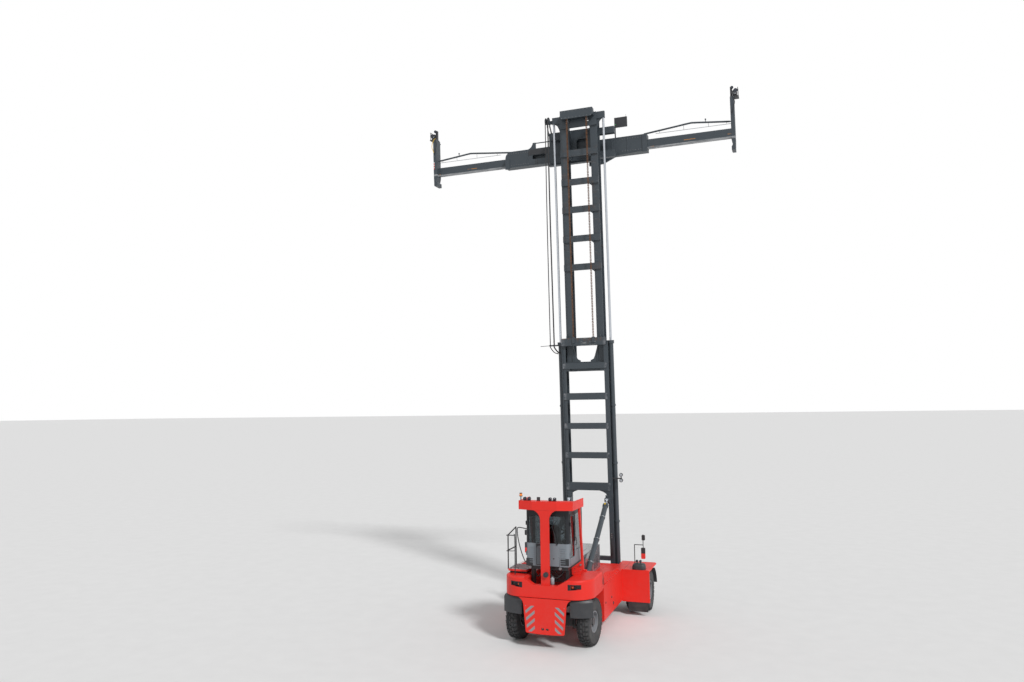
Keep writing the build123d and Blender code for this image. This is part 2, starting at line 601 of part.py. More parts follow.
# Cab doors: hinged at the rear edge, one pane each
door = box(
    CAB_HALF - DOOR_T + 10,
    CAB_HALF + 10,
    DOOR_REAR_Y + DOOR_GAP,
    DOOR_FRONT_Y - DOOR_GAP,
    CAB_Z0 + CAB_WALL + DOOR_GAP,
    HEAD_Z + 60 - DOOR_GAP,
)
DOOR_SILL_Z = 2560
opening = box(0, 1000, DOOR_REAR_Y + 70, DOOR_FRONT_Y - 70, DOOR_SILL_Z, HEAD_Z - 10)
door = door - fillet(opening.edges().filter_by(Axis.X), WINDOW_ROUND)
for z in (2700, 3600):
    sleeve = rod_z(HINGE_X, HINGE_Y, z - 30, z + 30, HINGE_R)
    sleeve = sleeve + box(CAB_HALF + 2, HINGE_X + 4, HINGE_Y, DOOR_REAR_Y + DOOR_GAP + 20, z - 30, z + 30)
    door = door + sleeve - rod_z(HINGE_X, HINGE_Y, z - 40, z + 40, HINGE_PIN_R + PIVOT_FIT)
pane_x = CAB_HALF - 12
door_pane = box(pane_x, pane_x + GLASS_T, DOOR_REAR_Y + 70, DOOR_FRONT_Y - 70, DOOR_SILL_Z, HEAD_Z - 10)
door_pane = fillet(door_pane.edges().filter_by(Axis.X), WINDOW_ROUND)
write("cab_door_right", door)
write("cab_door_left", other_side(door))
write("door_glass_right", door_pane)
write("door_glass_left", other_side(door_pane))

# Seat and controls inside the cab
CAB_FLOOR = CAB_Z0 + CAB_WALL
SEAT_Y = CAB_REAR_Y + 540
seat = box(-250, 250, SEAT_Y, SEAT_Y + 480, CAB_FLOOR + 260, CAB_FLOOR + 420)
seat = fillet(seat.edges().filter_by(Axis.Z), 60)
back = box(-240, 240, SEAT_Y - 120, SEAT_Y - SEAT_GAP, CAB_FLOOR + 330, CAB_FLOOR + 1120)
back = fillet(back.edges().filter_by(Axis.Y), 60)
write("seat_cushions", seat, back)
base = box(-200, 200, SEAT_Y - 40, SEAT_Y + 440, CAB_FLOOR, CAB_FLOOR + 260)
base = base + box(270, 400, SEAT_Y + 60, SEAT_Y + 610, CAB_FLOOR, CAB_FLOOR + 620)
base = base + box(-400, 400, CAB_FRONT_Y - 250, CAB_FRONT_Y - 110, CAB_FLOOR, CAB_FLOOR + 260)
COLUMN_Y = CAB_FRONT_Y - 190
HUB = Plane(origin=(0, COLUMN_Y - 210, CAB_FLOOR + 760), z_dir=(0, -210, 560))
base = base + rod((0, COLUMN_Y, CAB_FLOOR + 200), HUB.origin, 35)
rim_face = RegularPolygon(186, 20) - RegularPolygon(156, 20)
wheel = extrude(HUB * rim_face, amount=26) + HUB * Pos(0, 0, 9) * Box(330, 34, 26)
write("cab_controls", base + wheel)

# Hood over the engine: walls, a front housing and a hinged lid
hood = box(-HOOD_HALF, HOOD_HALF, HOOD_REAR_Y, HOOD_FRONT_Y, DECK_TOP, HOOD_TOP)
hood = fillet(hood.edges().filter_by(Axis.Y).group_by(Axis.Z)[-1], HOOD_ROUND)
inner = box(
    -HOOD_HALF + HOOD_WALL,
    HOOD_HALF - HOOD_WALL,
    HOOD_REAR_Y + HOOD_WALL,
    LID_FRONT_Y,
    DECK_TOP - 1,
    HOOD_TOP + 1,
)
hood = hood - inner
LID_SEAT_Z = HOOD_TOP - LID_T - SEAT_GAP
hood = hood - box(-HOOD_HALF - 1, HOOD_HALF + 1, HOOD_REAR_Y - 1, LID_FRONT_Y, LID_SEAT_Z, HOOD_TOP + 1)
LID_HINGE_X = -HOOD_HALF - HINGE_R
LID_HINGE_Z = HOOD_TOP - LID_T - SEAT_GAP
for y in (LID_REAR_Y + 300, LID_FRONT_Y - 300):
    leaf = box(LID_HINGE_X, -HOOD_HALF, y - 90, y - 31, LID_HINGE_Z - 40, LID_HINGE_Z)
    hood = hood + leaf + rod_y(LID_HINGE_X, y - 90, y - 31, LID_HINGE_Z, HINGE_R)
    hood = hood + rod_y(LID_HINGE_X, y - 90, y + 30, LID_HINGE_Z, HINGE_PIN_R)
write("hood", hood)
lid = box(-HOOD_HALF, HOOD_HALF, LID_REAR_Y, LID_FRONT_Y - 8, HOOD_TOP - LID_T, HOOD_TOP)
lid = fillet(lid.edges().filter_by(Axis.Y).group_by(Axis.Z)[-1], HOOD_ROUND)
for x in (-300, 0, 300):
    lid = lid + box(x - 40, x + 40, LID_REAR_Y + 250, LID_FRONT_Y - 250, HOOD_TOP - 1, HOOD_TOP + 8)
for y in (LID_REAR_Y + 300, LID_FRONT_Y - 300):
    lid = lid + rod_y(LID_HINGE_X, y - 30, y + 30, LID_HINGE_Z, HINGE_R)
    lid = lid + box(LID_HINGE_X, -HOOD_HALF + 1, y - 30, y + 30, LID_HINGE_Z + 4, HOOD_TOP)
    lid = lid - rod_y(LID_HINGE_X, y - 32, y + 32, LID_HINGE_Z, HINGE_PIN_R + PIVOT_FIT)
write("hood_lid", lid)

# Engine and gearbox: plain blocks at their real places, with the shaft to the drive axle
engine = box(-360, 360, ENGINE_REAR_Y, ENGINE_FRONT_Y, 980, 1950)
for y in (ENGINE_REAR_Y + 200, ENGINE_FRONT_Y - 240):
    engine = engine + box(-FRAME_FRONT_HALF + FRAME_WALL, FRAME_FRONT_HALF - FRAME_WALL, y, y + 100, 1020, 1100)
gearbox = box(-300, 300, ENGINE_FRONT_Y, -900, 900, 1440)
shaft = rod((0, -905, TYRE_R + 260), (0, -600, TYRE_R + 40), 45) + rod_y(0, -620, -560.3, TYRE_R + 30, 65)
write("engine_block", engine)
write("gearbox", gearbox + shaft)

# Front fenders over the twin tyres, with the black guards ahead of them
FENDER_IN_X = 1080
FENDER_OUT_X = 2300
fender = box(DECK_HALF, FENDER_OUT_X, TANK_FRONT_Y, TANK_FRONT_Y + 40, TANK_Z0, DECK_TOP)
fender = fender + box(FENDER_IN_X, FENDER_OUT_X, TANK_FRONT_Y, 560, FRAME_Z1, DECK_TOP)
fender = fillet(fender.edges().filter_by(Axis.Y).group_by(Axis.X)[-1].sort_by(Axis.Z)[-1:], 45)
write("front_fenders", fender, other_side(fender))
flap = box(1560, 2230, TANK_FRONT_Y + 5, TANK_FRONT_Y + 25, 140, TANK_Z0)
write("mud_flaps", flap, other_side(flap))
arc = Cylinder(770, 430) - Cylinder(745, 440)
arc = Pos(2065, 0, TYRE_R) * Rot(0, 90, 0) * arc
arc = arc & box(1800, 2320, 330, 900, 800, FRAME_Z1)
arc = arc + box(2040, 2090, 400, 440, 1330, FRAME_Z1)
write("front_mudguards", arc, other_side(arc))

# Lamps and mirrors on each fender: a domed base with two round lamps, and a frame with two mirrors
fit = fillet(box(1870, 2110, -860, -700, DECK_TOP, DECK_TOP + 110).edges().group_by(Axis.Z)[-1], 50)
for x in (1930, 2050):
    fit = fit + rod_y(x, -870, -790, DECK_TOP + 100, 48)
fit = fit + rod_z(1800, -820, DECK_TOP, 2350, 14) + rod_x(1795, 2110, -820, 2350, 14)
fit = fit + rod_z(2100, -820, 1900, 2700, 12)
# mirror heads: left, right, bottom, top
for x0, x1, z0, z1 in [(2030, 2170, 1890, 2260), (2060, 2170, 2510, 2690)]:
    head = box(x0, x1, -868, -812, z0, z1)
    fit = fit + fillet(head.edges().filter_by(Axis.Y), 28)
write("fender_lamps_and_mirrors", fit, other_side(fit))

# Left access: ladder on the tank, platform beside the cab and its handrail
TRAY_Y0 = CW_REAR_Y + 520
TRAY_Y1 = CW_FRONT_Y - 190
platform = box(-1340, -720, TRAY_Y0, TRAY_Y1, CW_TOP + 70, CW_TOP + 130)
platform = fillet(platform.edges().filter_by(Axis.Z), 60)
for y in (TRAY_Y0 + 100, TRAY_Y1 - 160):
    platform = platform + box(-1300, -760, y, y + 60, CW_TOP, CW_TOP + 71)
RAIL_X = -1330
RAIL_Z = 3300
# handrail, columns: start, end
rail = [
    ((RAIL_X, TRAY_Y0 + 20, CW_TOP + 110), (RAIL_X, TRAY_Y0 + 20, RAIL_Z - 140)),
    ((RAIL_X, TRAY_Y1 - 60, CW_TOP + 110), (RAIL_X, TRAY_Y1 - 60, RAIL_Z)),
    ((RAIL_X, TRAY_Y0 + 20, RAIL_Z - 140), (RAIL_X, TRAY_Y1 - 60, RAIL_Z)),
    ((RAIL_X, TRAY_Y0 + 20, 2700), (RAIL_X, TRAY_Y1 - 60, 2700)),
]
for start, end in rail:
    platform = platform + rod(start, end, 19)
    platform = platform + Pos(*end) * Sphere(19)
LADDER_Y0 = TANK_REAR_Y + 70
LADDER_Y1 = LADDER_Y0 + 400
for z in (620, 900, 1180):
    platform = platform + box(-DECK_HALF - STEP_T, -DECK_HALF, LADDER_Y0, LADDER_Y1, z, z + 30)
for y in (LADDER_Y0 - 25, LADDER_Y1):
    platform = platform + box(-DECK_HALF - STEP_T, -DECK_HALF, y, y + 25, 560, 1460)
write("access_platform", platform)

# Outer mast: two uprights open to the middle, a head beam and five cross members
upright = box(OUT_IN_X, OUT_FLANGE_X, OUT_Y0, OUT_Y0 + FLANGE_T, OUT_Z0, OUT_Z1)
upright = upright + box(OUT_IN_X, OUT_FLANGE_X, OUT_Y1 - FLANGE_T, OUT_Y1, OUT_Z0, OUT_Z1)
upright = upright + box(OUT_WEB_X0, OUT_WEB_X1, OUT_Y0, OUT_Y1, OUT_Z0, OUT_Z1)
lug = box(OUT_IN_X + 10, OUT_FLANGE_X - 5, 0, OUT_Y0 + 5, PIVOT_Z - LUG_R, PIVOT_Z + LUG_R)
lug = lug + rod_x(OUT_IN_X + 10, OUT_FLANGE_X - 5, 0, PIVOT_Z, LUG_R)
lug = lug - rod_x(OUT_IN_X, OUT_FLANGE_X, 0, PIVOT_Z, PIVOT_PIN_R + PIVOT_FIT)
upright = upright + lug
foot = box(OUT_WEB_X0, 1045, LIFT_Y - 95, LIFT_Y + 95, LIFT_FOOT_Z - 190, LIFT_FOOT_Z - 100)
upright = upright + foot
sway = math.radians(MAST_TILT)
eye_y = TILT_EYE[0] * math.cos(sway) + (TILT_EYE[1] - PIVOT_Z) * math.sin(sway)
eye_z = PIVOT_Z + (TILT_EYE[1] - PIVOT_Z) * math.cos(sway) - TILT_EYE[0] * math.sin(sway)
ear_y = OUT_Y0 - 45
upright = upright + box(TILT_X - 80, TILT_X + 95, ear_y, OUT_Y0 + 1, eye_z - 150, eye_z + 150)
for x0, x1 in [(TILT_X - 80, TILT_X - EAR_IN), (TILT_X + EAR_IN, TILT_X + 80)]:
    upright = upright + box(x0, x1, eye_y, ear_y + 1, eye_z - 75, eye_z + 75)
    upright = upright + rod_x(x0, x1, eye_y, eye_z, 75)
upright = upright + rod_x(TILT_X - 80, TILT_X + 80, eye_y, eye_z, TILT_PIN_R)
stub_z = OUT_Z1 - 200
roller_y = (IN_Y0 + IN_Y1) / 2
roller_r = (IN_Y1 - IN_Y0) / 2 - FLANGE_T - ROLLER_GAP
upright = upright + rod_x(IN_WEB_X1 + 20, OUT_IN_X - 10, roller_y, stub_z, roller_r)
upright = upright + rod_x(OUT_IN_X - 12, OUT_WEB_X0 + 2, roller_y - 60, stub_z, 60)
# clamps that hold the lift cylinder's barrel to the upright
for z in (2900, 5000, 7100):
    clamp = rod_z(LIFT_X, LIFT_Y, z, z + 70, LIFT_BARREL_R + 18)
    clamp = clamp + box(OUT_WEB_X0 + 10, LIFT_X, LIFT_Y - 60, LIFT_Y + 60, z, z + 70)
    upright = upright + clamp - rod_z(LIFT_X, LIFT_Y, z - 1, z + 71, LIFT_BARREL_R + SEAT_GAP)
outer = both(upright)
# cross members, columns: bottom, top, rear face
for z0, z1, y0 in [
    (HEAD_Z0, HEAD_Z1, OUT_Y0 - 60),
    (8490, 8710, OUT_Y0),
    (7350, 7600, OUT_Y0),
    (6280, 6500, OUT_Y0),
    (5210, 5430, OUT_Y0),
    (4050, 4330, OUT_Y0),
    (1550, 1700, OUT_Y0),
]:
    outer = outer + box(-OUT_IN_X, OUT_IN_X, y0, CROSS_Y1, z0, z1)
outer = outer + both(box(CHAIN_X - 50, CHAIN_X + 50, CHAIN_Y - 40, OUT_Y0 - 55, HEAD_Z0 + 100, HEAD_Z1 + 20))
# corner gussets under the lowest tall cross member, and short feet under the highest
GUSSET_Z = 4050
gusset = [(OUT_IN_X + 2, GUSSET_Z - 340), (OUT_IN_X + 2, GUSSET_Z + 2), (OUT_IN_X - 330, GUSSET_Z + 2)]
gusset = gusset + [(OUT_IN_X - 190, GUSSET_Z - 45), (OUT_IN_X - 90, GUSSET_Z - 110)]
gusset = gusset + [(OUT_IN_X - 30, GUSSET_Z - 210)]
outer = outer + both(rear_plate(gusset, OUT_Y0 + 4, OUT_Y0 + 34))
outer = outer + both(box(OUT_IN_X - 150, OUT_IN_X + 2, OUT_Y0 + 4, OUT_Y0 + 34, 8410, 8492))
for x in (170, 560):
    outer = outer + both(box(x - 18, x + 18, OUT_Y0 - 95, OUT_Y0 - 59, HEAD_Z0 + 30, HEAD_Z1 - 30))
write("outer_mast", in_mast(outer))

barrel = rod_z(LIFT_X, LIFT_Y, LIFT_FOOT_Z - 100, OUT_Z1, LIFT_BARREL_R)
collar = rod_z(LIFT_X, LIFT_Y, OUT_Z1 - 110, OUT_Z1, LIFT_COLLAR_R)
flat = box(LIFT_X - 200, OUT_FLANGE_X + 3, LIFT_Y - 200, LIFT_Y + 200, OUT_Z1 - 111, OUT_Z1 + 1)
barrel = barrel + collar - flat
barrel = barrel - rod_z(LIFT_X, LIFT_Y, LIFT_FOOT_Z, OUT_Z1 + 1, LIFT_BORE_R)
write("lift_barrels", in_mast(barrel), in_mast(other_side(barrel)))

# Fittings on the outer mast: an arm with two lamps on the right, and a bracket with two clamps for the hoses
ARM_Z = 4500
arm = box(OUT_FLANGE_X, OUT_FLANGE_X + 350, OUT_Y0, OUT_Y0 + 40, ARM_Z - 20, ARM_Z + 20)
arm = arm + box(1195, 1225, OUT_Y0 - 20, OUT_Y0 + 20, ARM_Z - 120, ARM_Z + 200)
for z in (ARM_Z - 70, ARM_Z + 130):
    arm = arm + rod_y(1210, OUT_Y0 - 60, OUT_Y0 + 40, z, 62)
HOSE_Z = HEAD_Z0 + 20
hose_arm = box(-1340, -OUT_FLANGE_X, OUT_Y0 - 20, OUT_Y0 + 30, HOSE_Z, HOSE_Z + 50)
# hose clamps, at the hoses' lower ends
for x in (-1300, -1150):
    hose_arm = hose_arm + box(x - 32, x + 32, OUT_Y0 - 38, OUT_Y0 + 48, HOSE_Z + 5, HOSE_Z + 50)
write("mast_fittings", in_mast(arm), in_mast(hose_arm))

# Inner mast: two uprights with rollers, cross members and the crosshead
stile = box(IN_X0, IN_X1, IN_Y0, IN_Y0 + FLANGE_T, IN_Z0, IN_Z1)
stile = stile + box(IN_X0, IN_X1, IN_Y1 - FLANGE_T, IN_Y1, IN_Z0, IN_Z1)
stile = stile + box(IN_WEB_X0, IN_WEB_X1, IN_Y0, IN_Y1, IN_Z0, IN_Z1)
foot_r = (OUT_Y1 - OUT_Y0) / 2 - FLANGE_T - ROLLER_GAP
foot_y = (OUT_Y0 + OUT_Y1) / 2
stile = stile + rod_x(OUT_IN_X + 8, OUT_WEB_X0 - 8, foot_y, IN_Z0 + 200, foot_r)
stile = stile + rod_x(IN_WEB_X1 - 5, OUT_IN_X + 10, foot_y, IN_Z0 + 200, 60)
inner_mast = both(stile)
# cross members, columns: bottom, top
for z0, z1 in [
    (8400, 8750),
    (12160, 12400),
    (13230, 13470),
    (14330, 14570),
    (15380, 15620),
    (16480, 16720),
    (17560, 18050),
]:
    inner_mast = inner_mast + box(-IN_X1, IN_X1, IN_CROSS_Y0, IN_Y0 + 1, z0, z1)
CROSSHEAD_Z = 17800
CROSSHEAD_X = LIFT_X + 55
inner_mast = inner_mast + both(box(IN_X0 + 10, CROSSHEAD_X, 395, 505, CROSSHEAD_Z, IN_Z1))
# webs under the crosshead's arms, and the foot tie's web that narrows the opening between the uprights
arm_web = [(IN_X1 - 2, CROSSHEAD_Z - 380), (IN_X1 + 50, CROSSHEAD_Z - 200), (IN_X1 + 110, CROSSHEAD_Z - 80)]
arm_web = arm_web + [(IN_X1 + 200, CROSSHEAD_Z + 2), (IN_X1 - 2, CROSSHEAD_Z + 2)]
inner_mast = inner_mast + both(rear_plate(arm_web, 430, 470))
foot_web = [(IN_X0 + 2, 9300), (IN_X0 + 2, 8748), (190, 8748), (190, 8800), (300, 8850), (352, 8960)]
inner_mast = inner_mast + both(rear_plate(foot_web, IN_CROSS_Y0 + 4, IN_CROSS_Y0 + 34))
inner_mast = inner_mast + both(box(IN_X0, IN_X0 + 30, IN_CROSS_Y0, IN_Y0 + 1, 8749, 9300))
slot = box(CHAIN_X - 42, CHAIN_X + 42, IN_CROSS_Y0 - 5, IN_Y0 + 5, SHEAVE_Z - SHEAVE_R - 10, IN_Z1 + 1)
cheeks = box(CHAIN_X - 58, CHAIN_X - 42, SHEAVE_Y - 70, IN_Y0, SHEAVE_Z - 90, SHEAVE_Z + 90)
cheeks = cheeks + box(CHAIN_X + 42, CHAIN_X + 58, SHEAVE_Y - 70, IN_Y0, SHEAVE_Z - 90, SHEAVE_Z + 90)
cheeks = cheeks - rod_x(CHAIN_X - 60, CHAIN_X + 60, SHEAVE_Y, SHEAVE_Z, SHEAVE_PIN_R + PIVOT_FIT)
inner_mast = inner_mast - both(slot) + both(cheeks)
write("inner_mast", in_mast(inner_mast))
HEADER_Z0 = IN_Z1 - 210
HEADER_Z1 = IN_Z1 + 110
HEADER_HALF = 620
front = [(560, HEADER_Z0), (HEADER_HALF, HEADER_Z0 + 60), (HEADER_HALF, HEADER_Z1)]
header = rear_plate(mirrored(front), 100, 115)
header = header + box(-HEADER_HALF, HEADER_HALF, 110, IN_CROSS_Y0 + 20, IN_Z1 + 15, IN_Z1 + 30)
header = header + both(box(HEADER_HALF - 15, HEADER_HALF, 110, IN_CROSS_Y0, HEADER_Z0 + 60, HEADER_Z1))
write("mast_header", in_mast(header))
piston = rod_z(LIFT_X, LIFT_Y, ROD_LOW_Z, CROSSHEAD_Z, LIFT_ROD_R)
write("lift_rods", in_mast(piston), in_mast(other_side(piston)))

# Chain sheaves in the crosshead, and the chains' rear runs down to the head beam
sheave = rod_x(CHAIN_X - 38, CHAIN_X + 38, SHEAVE_Y, SHEAVE_Z, SHEAVE_R)
sheave = sheave + rod_x(CHAIN_X - 58, CHAIN_X + 58, SHEAVE_Y, SHEAVE_Z, SHEAVE_PIN_R)
write("chain_sheaves", in_mast(sheave), in_mast(other_side(sheave)))
chain_half = CHAIN_W / 2
chain = box(CHAIN_X - chain_half, CHAIN_X + chain_half, CHAIN_Y - 5, CHAIN_Y + 5, HEAD_Z1 + 20.3, SHEAVE_Z)
for x in (CHAIN_X - chain_half + 6, CHAIN_X, CHAIN_X + chain_half - 6):
    chain = chain + box(x - 6, x + 6, CHAIN_Y - CHAIN_T / 2, CHAIN_Y + CHAIN_T / 2, HEAD_Z1 + 20.3, SHEAVE_Z)
write("lift_chains", in_mast(chain), in_mast(other_side(chain)))
hoses = []
for top_x, low_x in [(-1120, -1150), (-1220, -1300)]:
    top_y = PULLEY_Y - PULLEY_R - HOSE_R - SEAT_GAP
    hoses.append(in_mast(rod((low_x, OUT_Y0 + 5, HEAD_Z0 + 75), (top_x, top_y, PULLEY_Z), HOSE_R)))
write("lift_hoses", *hoses)
reel = box(-1181, -1159, PULLEY_Y - 60, 500, PULLEY_Z - 60, PULLEY_Z + 60)
reel = reel + box(-1181, -1010, 430, 500, PULLEY_Z - 60, PULLEY_Z + 60)
for x in (-1220, -1120):
    reel = reel + rod_x(x - 30, x + 30, PULLEY_Y, PULLEY_Z, PULLEY_R)
reel = reel + rod_x(-1255, -1085, PULLEY_Y, PULLEY_Z, 25)
write("hose_pulleys", in_mast(reel))

# Carriage: side plates with rollers in the inner uprights, and cross beams for the side shift
carriage = box(415, 440, 470, CARRIAGE_Y1, CARRIAGE_Z0, CARRIAGE_Z1)
for z in (16600, 17500):
    carriage = carriage + rod_x(438, IN_WEB_X0 - 15, roller_y, z, roller_r)
carriage = both(carriage)
for z0, z1 in [(CARRIAGE_Z0, CARRIAGE_Z0 + 250), (CARRIAGE_Z1 - 250, CARRIAGE_Z1)]:
    carriage = carriage + box(-1250, 1250, CARRIAGE_Y1 - 200, CARRIAGE_Y1, z0, z1)
carriage = carriage + box(-440, 440, CARRIAGE_Y1 - 200, CARRIAGE_Y1 - 140, CARRIAGE_Z0 + 240, CARRIAGE_Z1 - 240)
window = box(-210, 210, CARRIAGE_Y1 - 201, CARRIAGE_Y1 - 139, CARRIAGE_Z0 + 330, CARRIAGE_Z1 - 330)
carriage = carriage - fillet(window.edges().filter_by(Axis.Y), 90)
write("carriage", in_mast(carriage))

# Spreader body: a shift frame on the carriage and a box that guides the two beams
def at_shift(solid):
    return in_mast(Pos(SHIFT_X, 0, 0) * solid)


body = box(-BOX_HALF, BOX_HALF, BOX_Y0, BOX_Y1, BOX_Z0, BOX_Z1)
shoulder = body.edges().filter_by(Axis.Y).group_by(Axis.Z)[-1].sort_by(Axis.X)
body = fillet(shoulder[:1], 260)
# guide flanges at both ends and ribs between, columns: place, half width, how far they stand out
for x, half, out in [
    (BOX_HALF - 90, 90, FLANGE_OUT),
    (2100, 22, 10),
    (1500, 22, 10),
    (-1050, 22, 10),
    (-1900, 22, 10),
]:
    body = body + box(x - half, x + half, BOX_Y0 - out, BOX_Y0 + 1, BOX_Z0 - out, BOX_Z1 - 8)
lip_z = BOX_Z0 - 2 * FLANGE_OUT
body = body + box(-BOX_HALF, -BOX_HALF + 180, BOX_Y0 - FLANGE_OUT, BOX_Y0 + 1, lip_z, BOX_Z1 - 320)
keel = [(600, BOX_Z0 + 1), (600, BOX_Z0 - 330), (1150, BOX_Z0 - 300)]
keel = keel + [(1700, BOX_Z0 - 60), (BOX_HALF - 300, BOX_Z0 + 1)]
body = body + rear_plate(keel, BOX_Y0 - FLANGE_OUT, BOX_Y0 + 60)
REAR_BAY = (BOX_Y0 + SKIN, BOX_Y0 + SKIN + BEAM_T + 2 * BEAM_GAP)
FRONT_BAY = (BOX_Y1 - SKIN - BEAM_T - 2 * BEAM_GAP, BOX_Y1 - SKIN)
for y0, y1 in [REAR_BAY, FRONT_BAY]:
    body = body - box(-BOX_HALF - 1, BOX_HALF + 1, y0, y1, BEAM_Z0 - SEAT_GAP, BEAM_Z1 + BEAM_GAP)
hand_hole = box(-1700, -1150, BOX_Y0 - 60, BOX_Y0 + SKIN + 1, BOX_Z0 + 230, BOX_Z0 + 390)
body = body - fillet(hand_hole.edges().filter_by(Axis.Y), 40)
for z0, z1 in [(BOX_Z1 - 120, BOX_Z1), (BOX_Z0, BOX_Z0 + 70)]:
    body = body + box(-900, 900, CARRIAGE_Y1 + 50, BOX_Y0 + 1, z0, z1)
for z0, z1 in [(CARRIAGE_Z1 + SEAT_GAP, CARRIAGE_Z1 + 60), (CARRIAGE_Z0 - 60, CARRIAGE_Z0 - SEAT_GAP)]:
    body = body + box(-900, 900, CARRIAGE_Y1 - 150, CARRIAGE_Y1 + 60, z0, z1)
body = body + box(-900, 900, CARRIAGE_Y1 + BEAM_GAP, CARRIAGE_Y1 + 60, CARRIAGE_Z0 - 60, CARRIAGE_Z1 + 60)
# fin on the left shoulder and the rail that runs from it to the middle
fin = Polyline((-1900, BOX_Z1 - 1), (-1560, BOX_Z1 - 1), (-1560, BOX_Z1 + 240), (-1680, BOX_Z1 + 240))
fin = fin + ThreePointArc((-1680, BOX_Z1 + 240), (-1755, BOX_Z1 + 85), (-1900, BOX_Z1 - 1))
body = body + rear_shape(make_face(fin), BOX_Y0 + 10, BOX_Y0 + 50)
body = body + rod_x(-1600, -500, BOX_Y0 + 30, BOX_Z1 + 215, 20)
body = body + rod_z(-500, BOX_Y0 + 30, BOX_Z1 - 1, BOX_Z1 + 235, 20)
write("spreader_body", at_shift(body))

board_x = BOX_HALF - 1250
board = box(board_x, board_x + 40, 1560, 1600, BOX_Z1, BOX_Z1 + 500)
board = board + box(board_x + 10, board_x + 500, 1500, 1561, BOX_Z1 + 420, BOX_Z1 + 800)
write("spreader_board", at_shift(board))

# Spreader arms: a beam with a worn lower rail, an upright end frame that tapers to a hooked foot, a lift pin
# and a pipe that rises from the box, runs over the beam in two slopes and drops to the frame
PIPE_Z = BOX_Z1 + 60


def arm(side, bay, pipe_y):
    y0 = bay[0] + BEAM_GAP
    shape = box(ARM_IN_X, ARM_END_X, y0, y0 + BEAM_T, BEAM_Z0, BEAM_Z1)
    post = [
        (-70, BOX_Z1 + 950),
        (-70, BEAM_Z0 - 60),
        (-30, FOOT_Z + 190),
        (-75, FOOT_Z + 120),
        (-75, FOOT_Z),
        (60, FOOT_Z),
        (70, BEAM_Z0 - 60),
        (70, BOX_Z1 + 950),
    ]
    shape = shape + Pos(ARM_END_X, 0, 0) * rear_plate(post, BOX_Y0 + 20, BOX_Y1 + 40)
    shape = shape + box(ARM_END_X - 60, ARM_END_X + 60, BOX_Y1 + 40, BOX_Y1 + 110, FOOT_Z, FOOT_Z + 160)
    shape = shape + rod_y(ARM_END_X, BOX_Y1 + 30, BOX_Y1 + 190, LIFT_PIN_Z, LIFT_PIN_R)
    # pipe, columns: place along X, height
    run = [(BOX_HALF - 120, PIPE_Z), (ARM_END_X - 1500, PIPE_Z + 190), (ARM_END_X - 60, PIPE_Z + 40)]
    for (x0, z0), (x1, z1) in zip(run, run[1:]):
        shape = shape + rod((x0, pipe_y, z0), (x1, pipe_y, z1), PIPE_R) + Pos(x1, pipe_y, z1) * Sphere(PIPE_R)
    return shape if side > 0 else mirror(shape, about=Plane.YZ)


# Lamp heads on the end frames: a tray, a housing with a round lamp, a tall camera box and a hoop over them
def arm_lamps(side):
    z = BOX_Z1 + 950
    head = box(ARM_END_X - 60, ARM_END_X + 240, 1500, 1800, z, z + 40)
    lamp_box = box(ARM_END_X + 20, ARM_END_X + 180, 1560, 1740, z + 39, z + 270)
    head = head + fillet(lamp_box.edges().filter_by(Axis.Y), 40)
    head = head + rod_y(ARM_END_X + 100, 1520, 1561, z + 150, 62)
    head = head + box(ARM_END_X - 60, ARM_END_X + 10, 1580, 1700, z + 39, z + 410)
    # hoop, columns: rear face, bottom, top
    for y, z0, z1 in [(1520, z + 39, z + 350), (1760, z + 39, z + 350)]:
        head = head + box(ARM_END_X + 205, ARM_END_X + 225, y, y + 20, z0, z1)
    head = head + box(ARM_END_X + 205, ARM_END_X + 225, 1520, 1780, z + 330, z + 350)
    return head if side > 0 else mirror(head, about=Plane.YZ)


write("spreader_arm_right", at_shift(arm(1, REAR_BAY, BOX_Y1 - 150)))
write("spreader_arm_left", at_shift(arm(-1, FRONT_BAY, BOX_Y1 - 80)))
write("arm_lamps_right", at_shift(arm_lamps(1)))
write("arm_lamps_left", at_shift(arm_lamps(-1)))

# Tilt cylinders: barrel on the deck, rod on the mast
run_y = TILT_EYE[0] - TILT_BASE[0]
run_z = TILT_EYE[1] - TILT_BASE[1]
reach = math.hypot(run_y, run_z)
lean = Plane(origin=(TILT_X, TILT_BASE[0], TILT_BASE[1]), x_dir=(1, 0, 0), z_dir=(0, run_y, run_z))


def along(z0, z1, radius):
    return lean * (Pos(0, 0, (z0 + z1) / 2) * Cylinder(radius, z1 - z0))


cylinder = along(260, TILT_BARREL_TOP, TILT_BARREL_R) + along(60, 265, 46)
# end cap and three clamps round the barrel
for z0, z1, radius in [
    (TILT_BARREL_TOP - 90, TILT_BARREL_TOP, 104),
    (700, 760, 96),
    (1800, 1860, 96),
    (2900, 2960, 96),
]:
    cylinder = cylinder + along(z0, z1, radius)
cylinder = cylinder - along(2600, TILT_BARREL_TOP + 1, TILT_ROD_R + 5)
half_eye = TILT_EYE_W / 2
cylinder = cylinder + rod_x(TILT_X - half_eye, TILT_X + half_eye, TILT_BASE[0], TILT_BASE[1], TILT_EYE_R)
cylinder = cylinder - rod_x(TILT_X - 90, TILT_X + 90, TILT_BASE[0], TILT_BASE[1], TILT_PIN_R + PIVOT_FIT)
plunger = along(2950, reach - 60, TILT_ROD_R)
plunger = plunger + rod_x(TILT_X - half_eye, TILT_X + half_eye, TILT_EYE[0], TILT_EYE[1], 70)
plunger = plunger - rod_x(TILT_X - 90, TILT_X + 90, TILT_EYE[0], TILT_EYE[1], TILT_PIN_R + TILT_DRIFT)
write("tilt_barrel_right", cylinder)
write("tilt_barrel_left", other_side(cylinder))
write("tilt_rod_right", plunger)
write("tilt_rod_left", other_side(plunger))
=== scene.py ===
import math

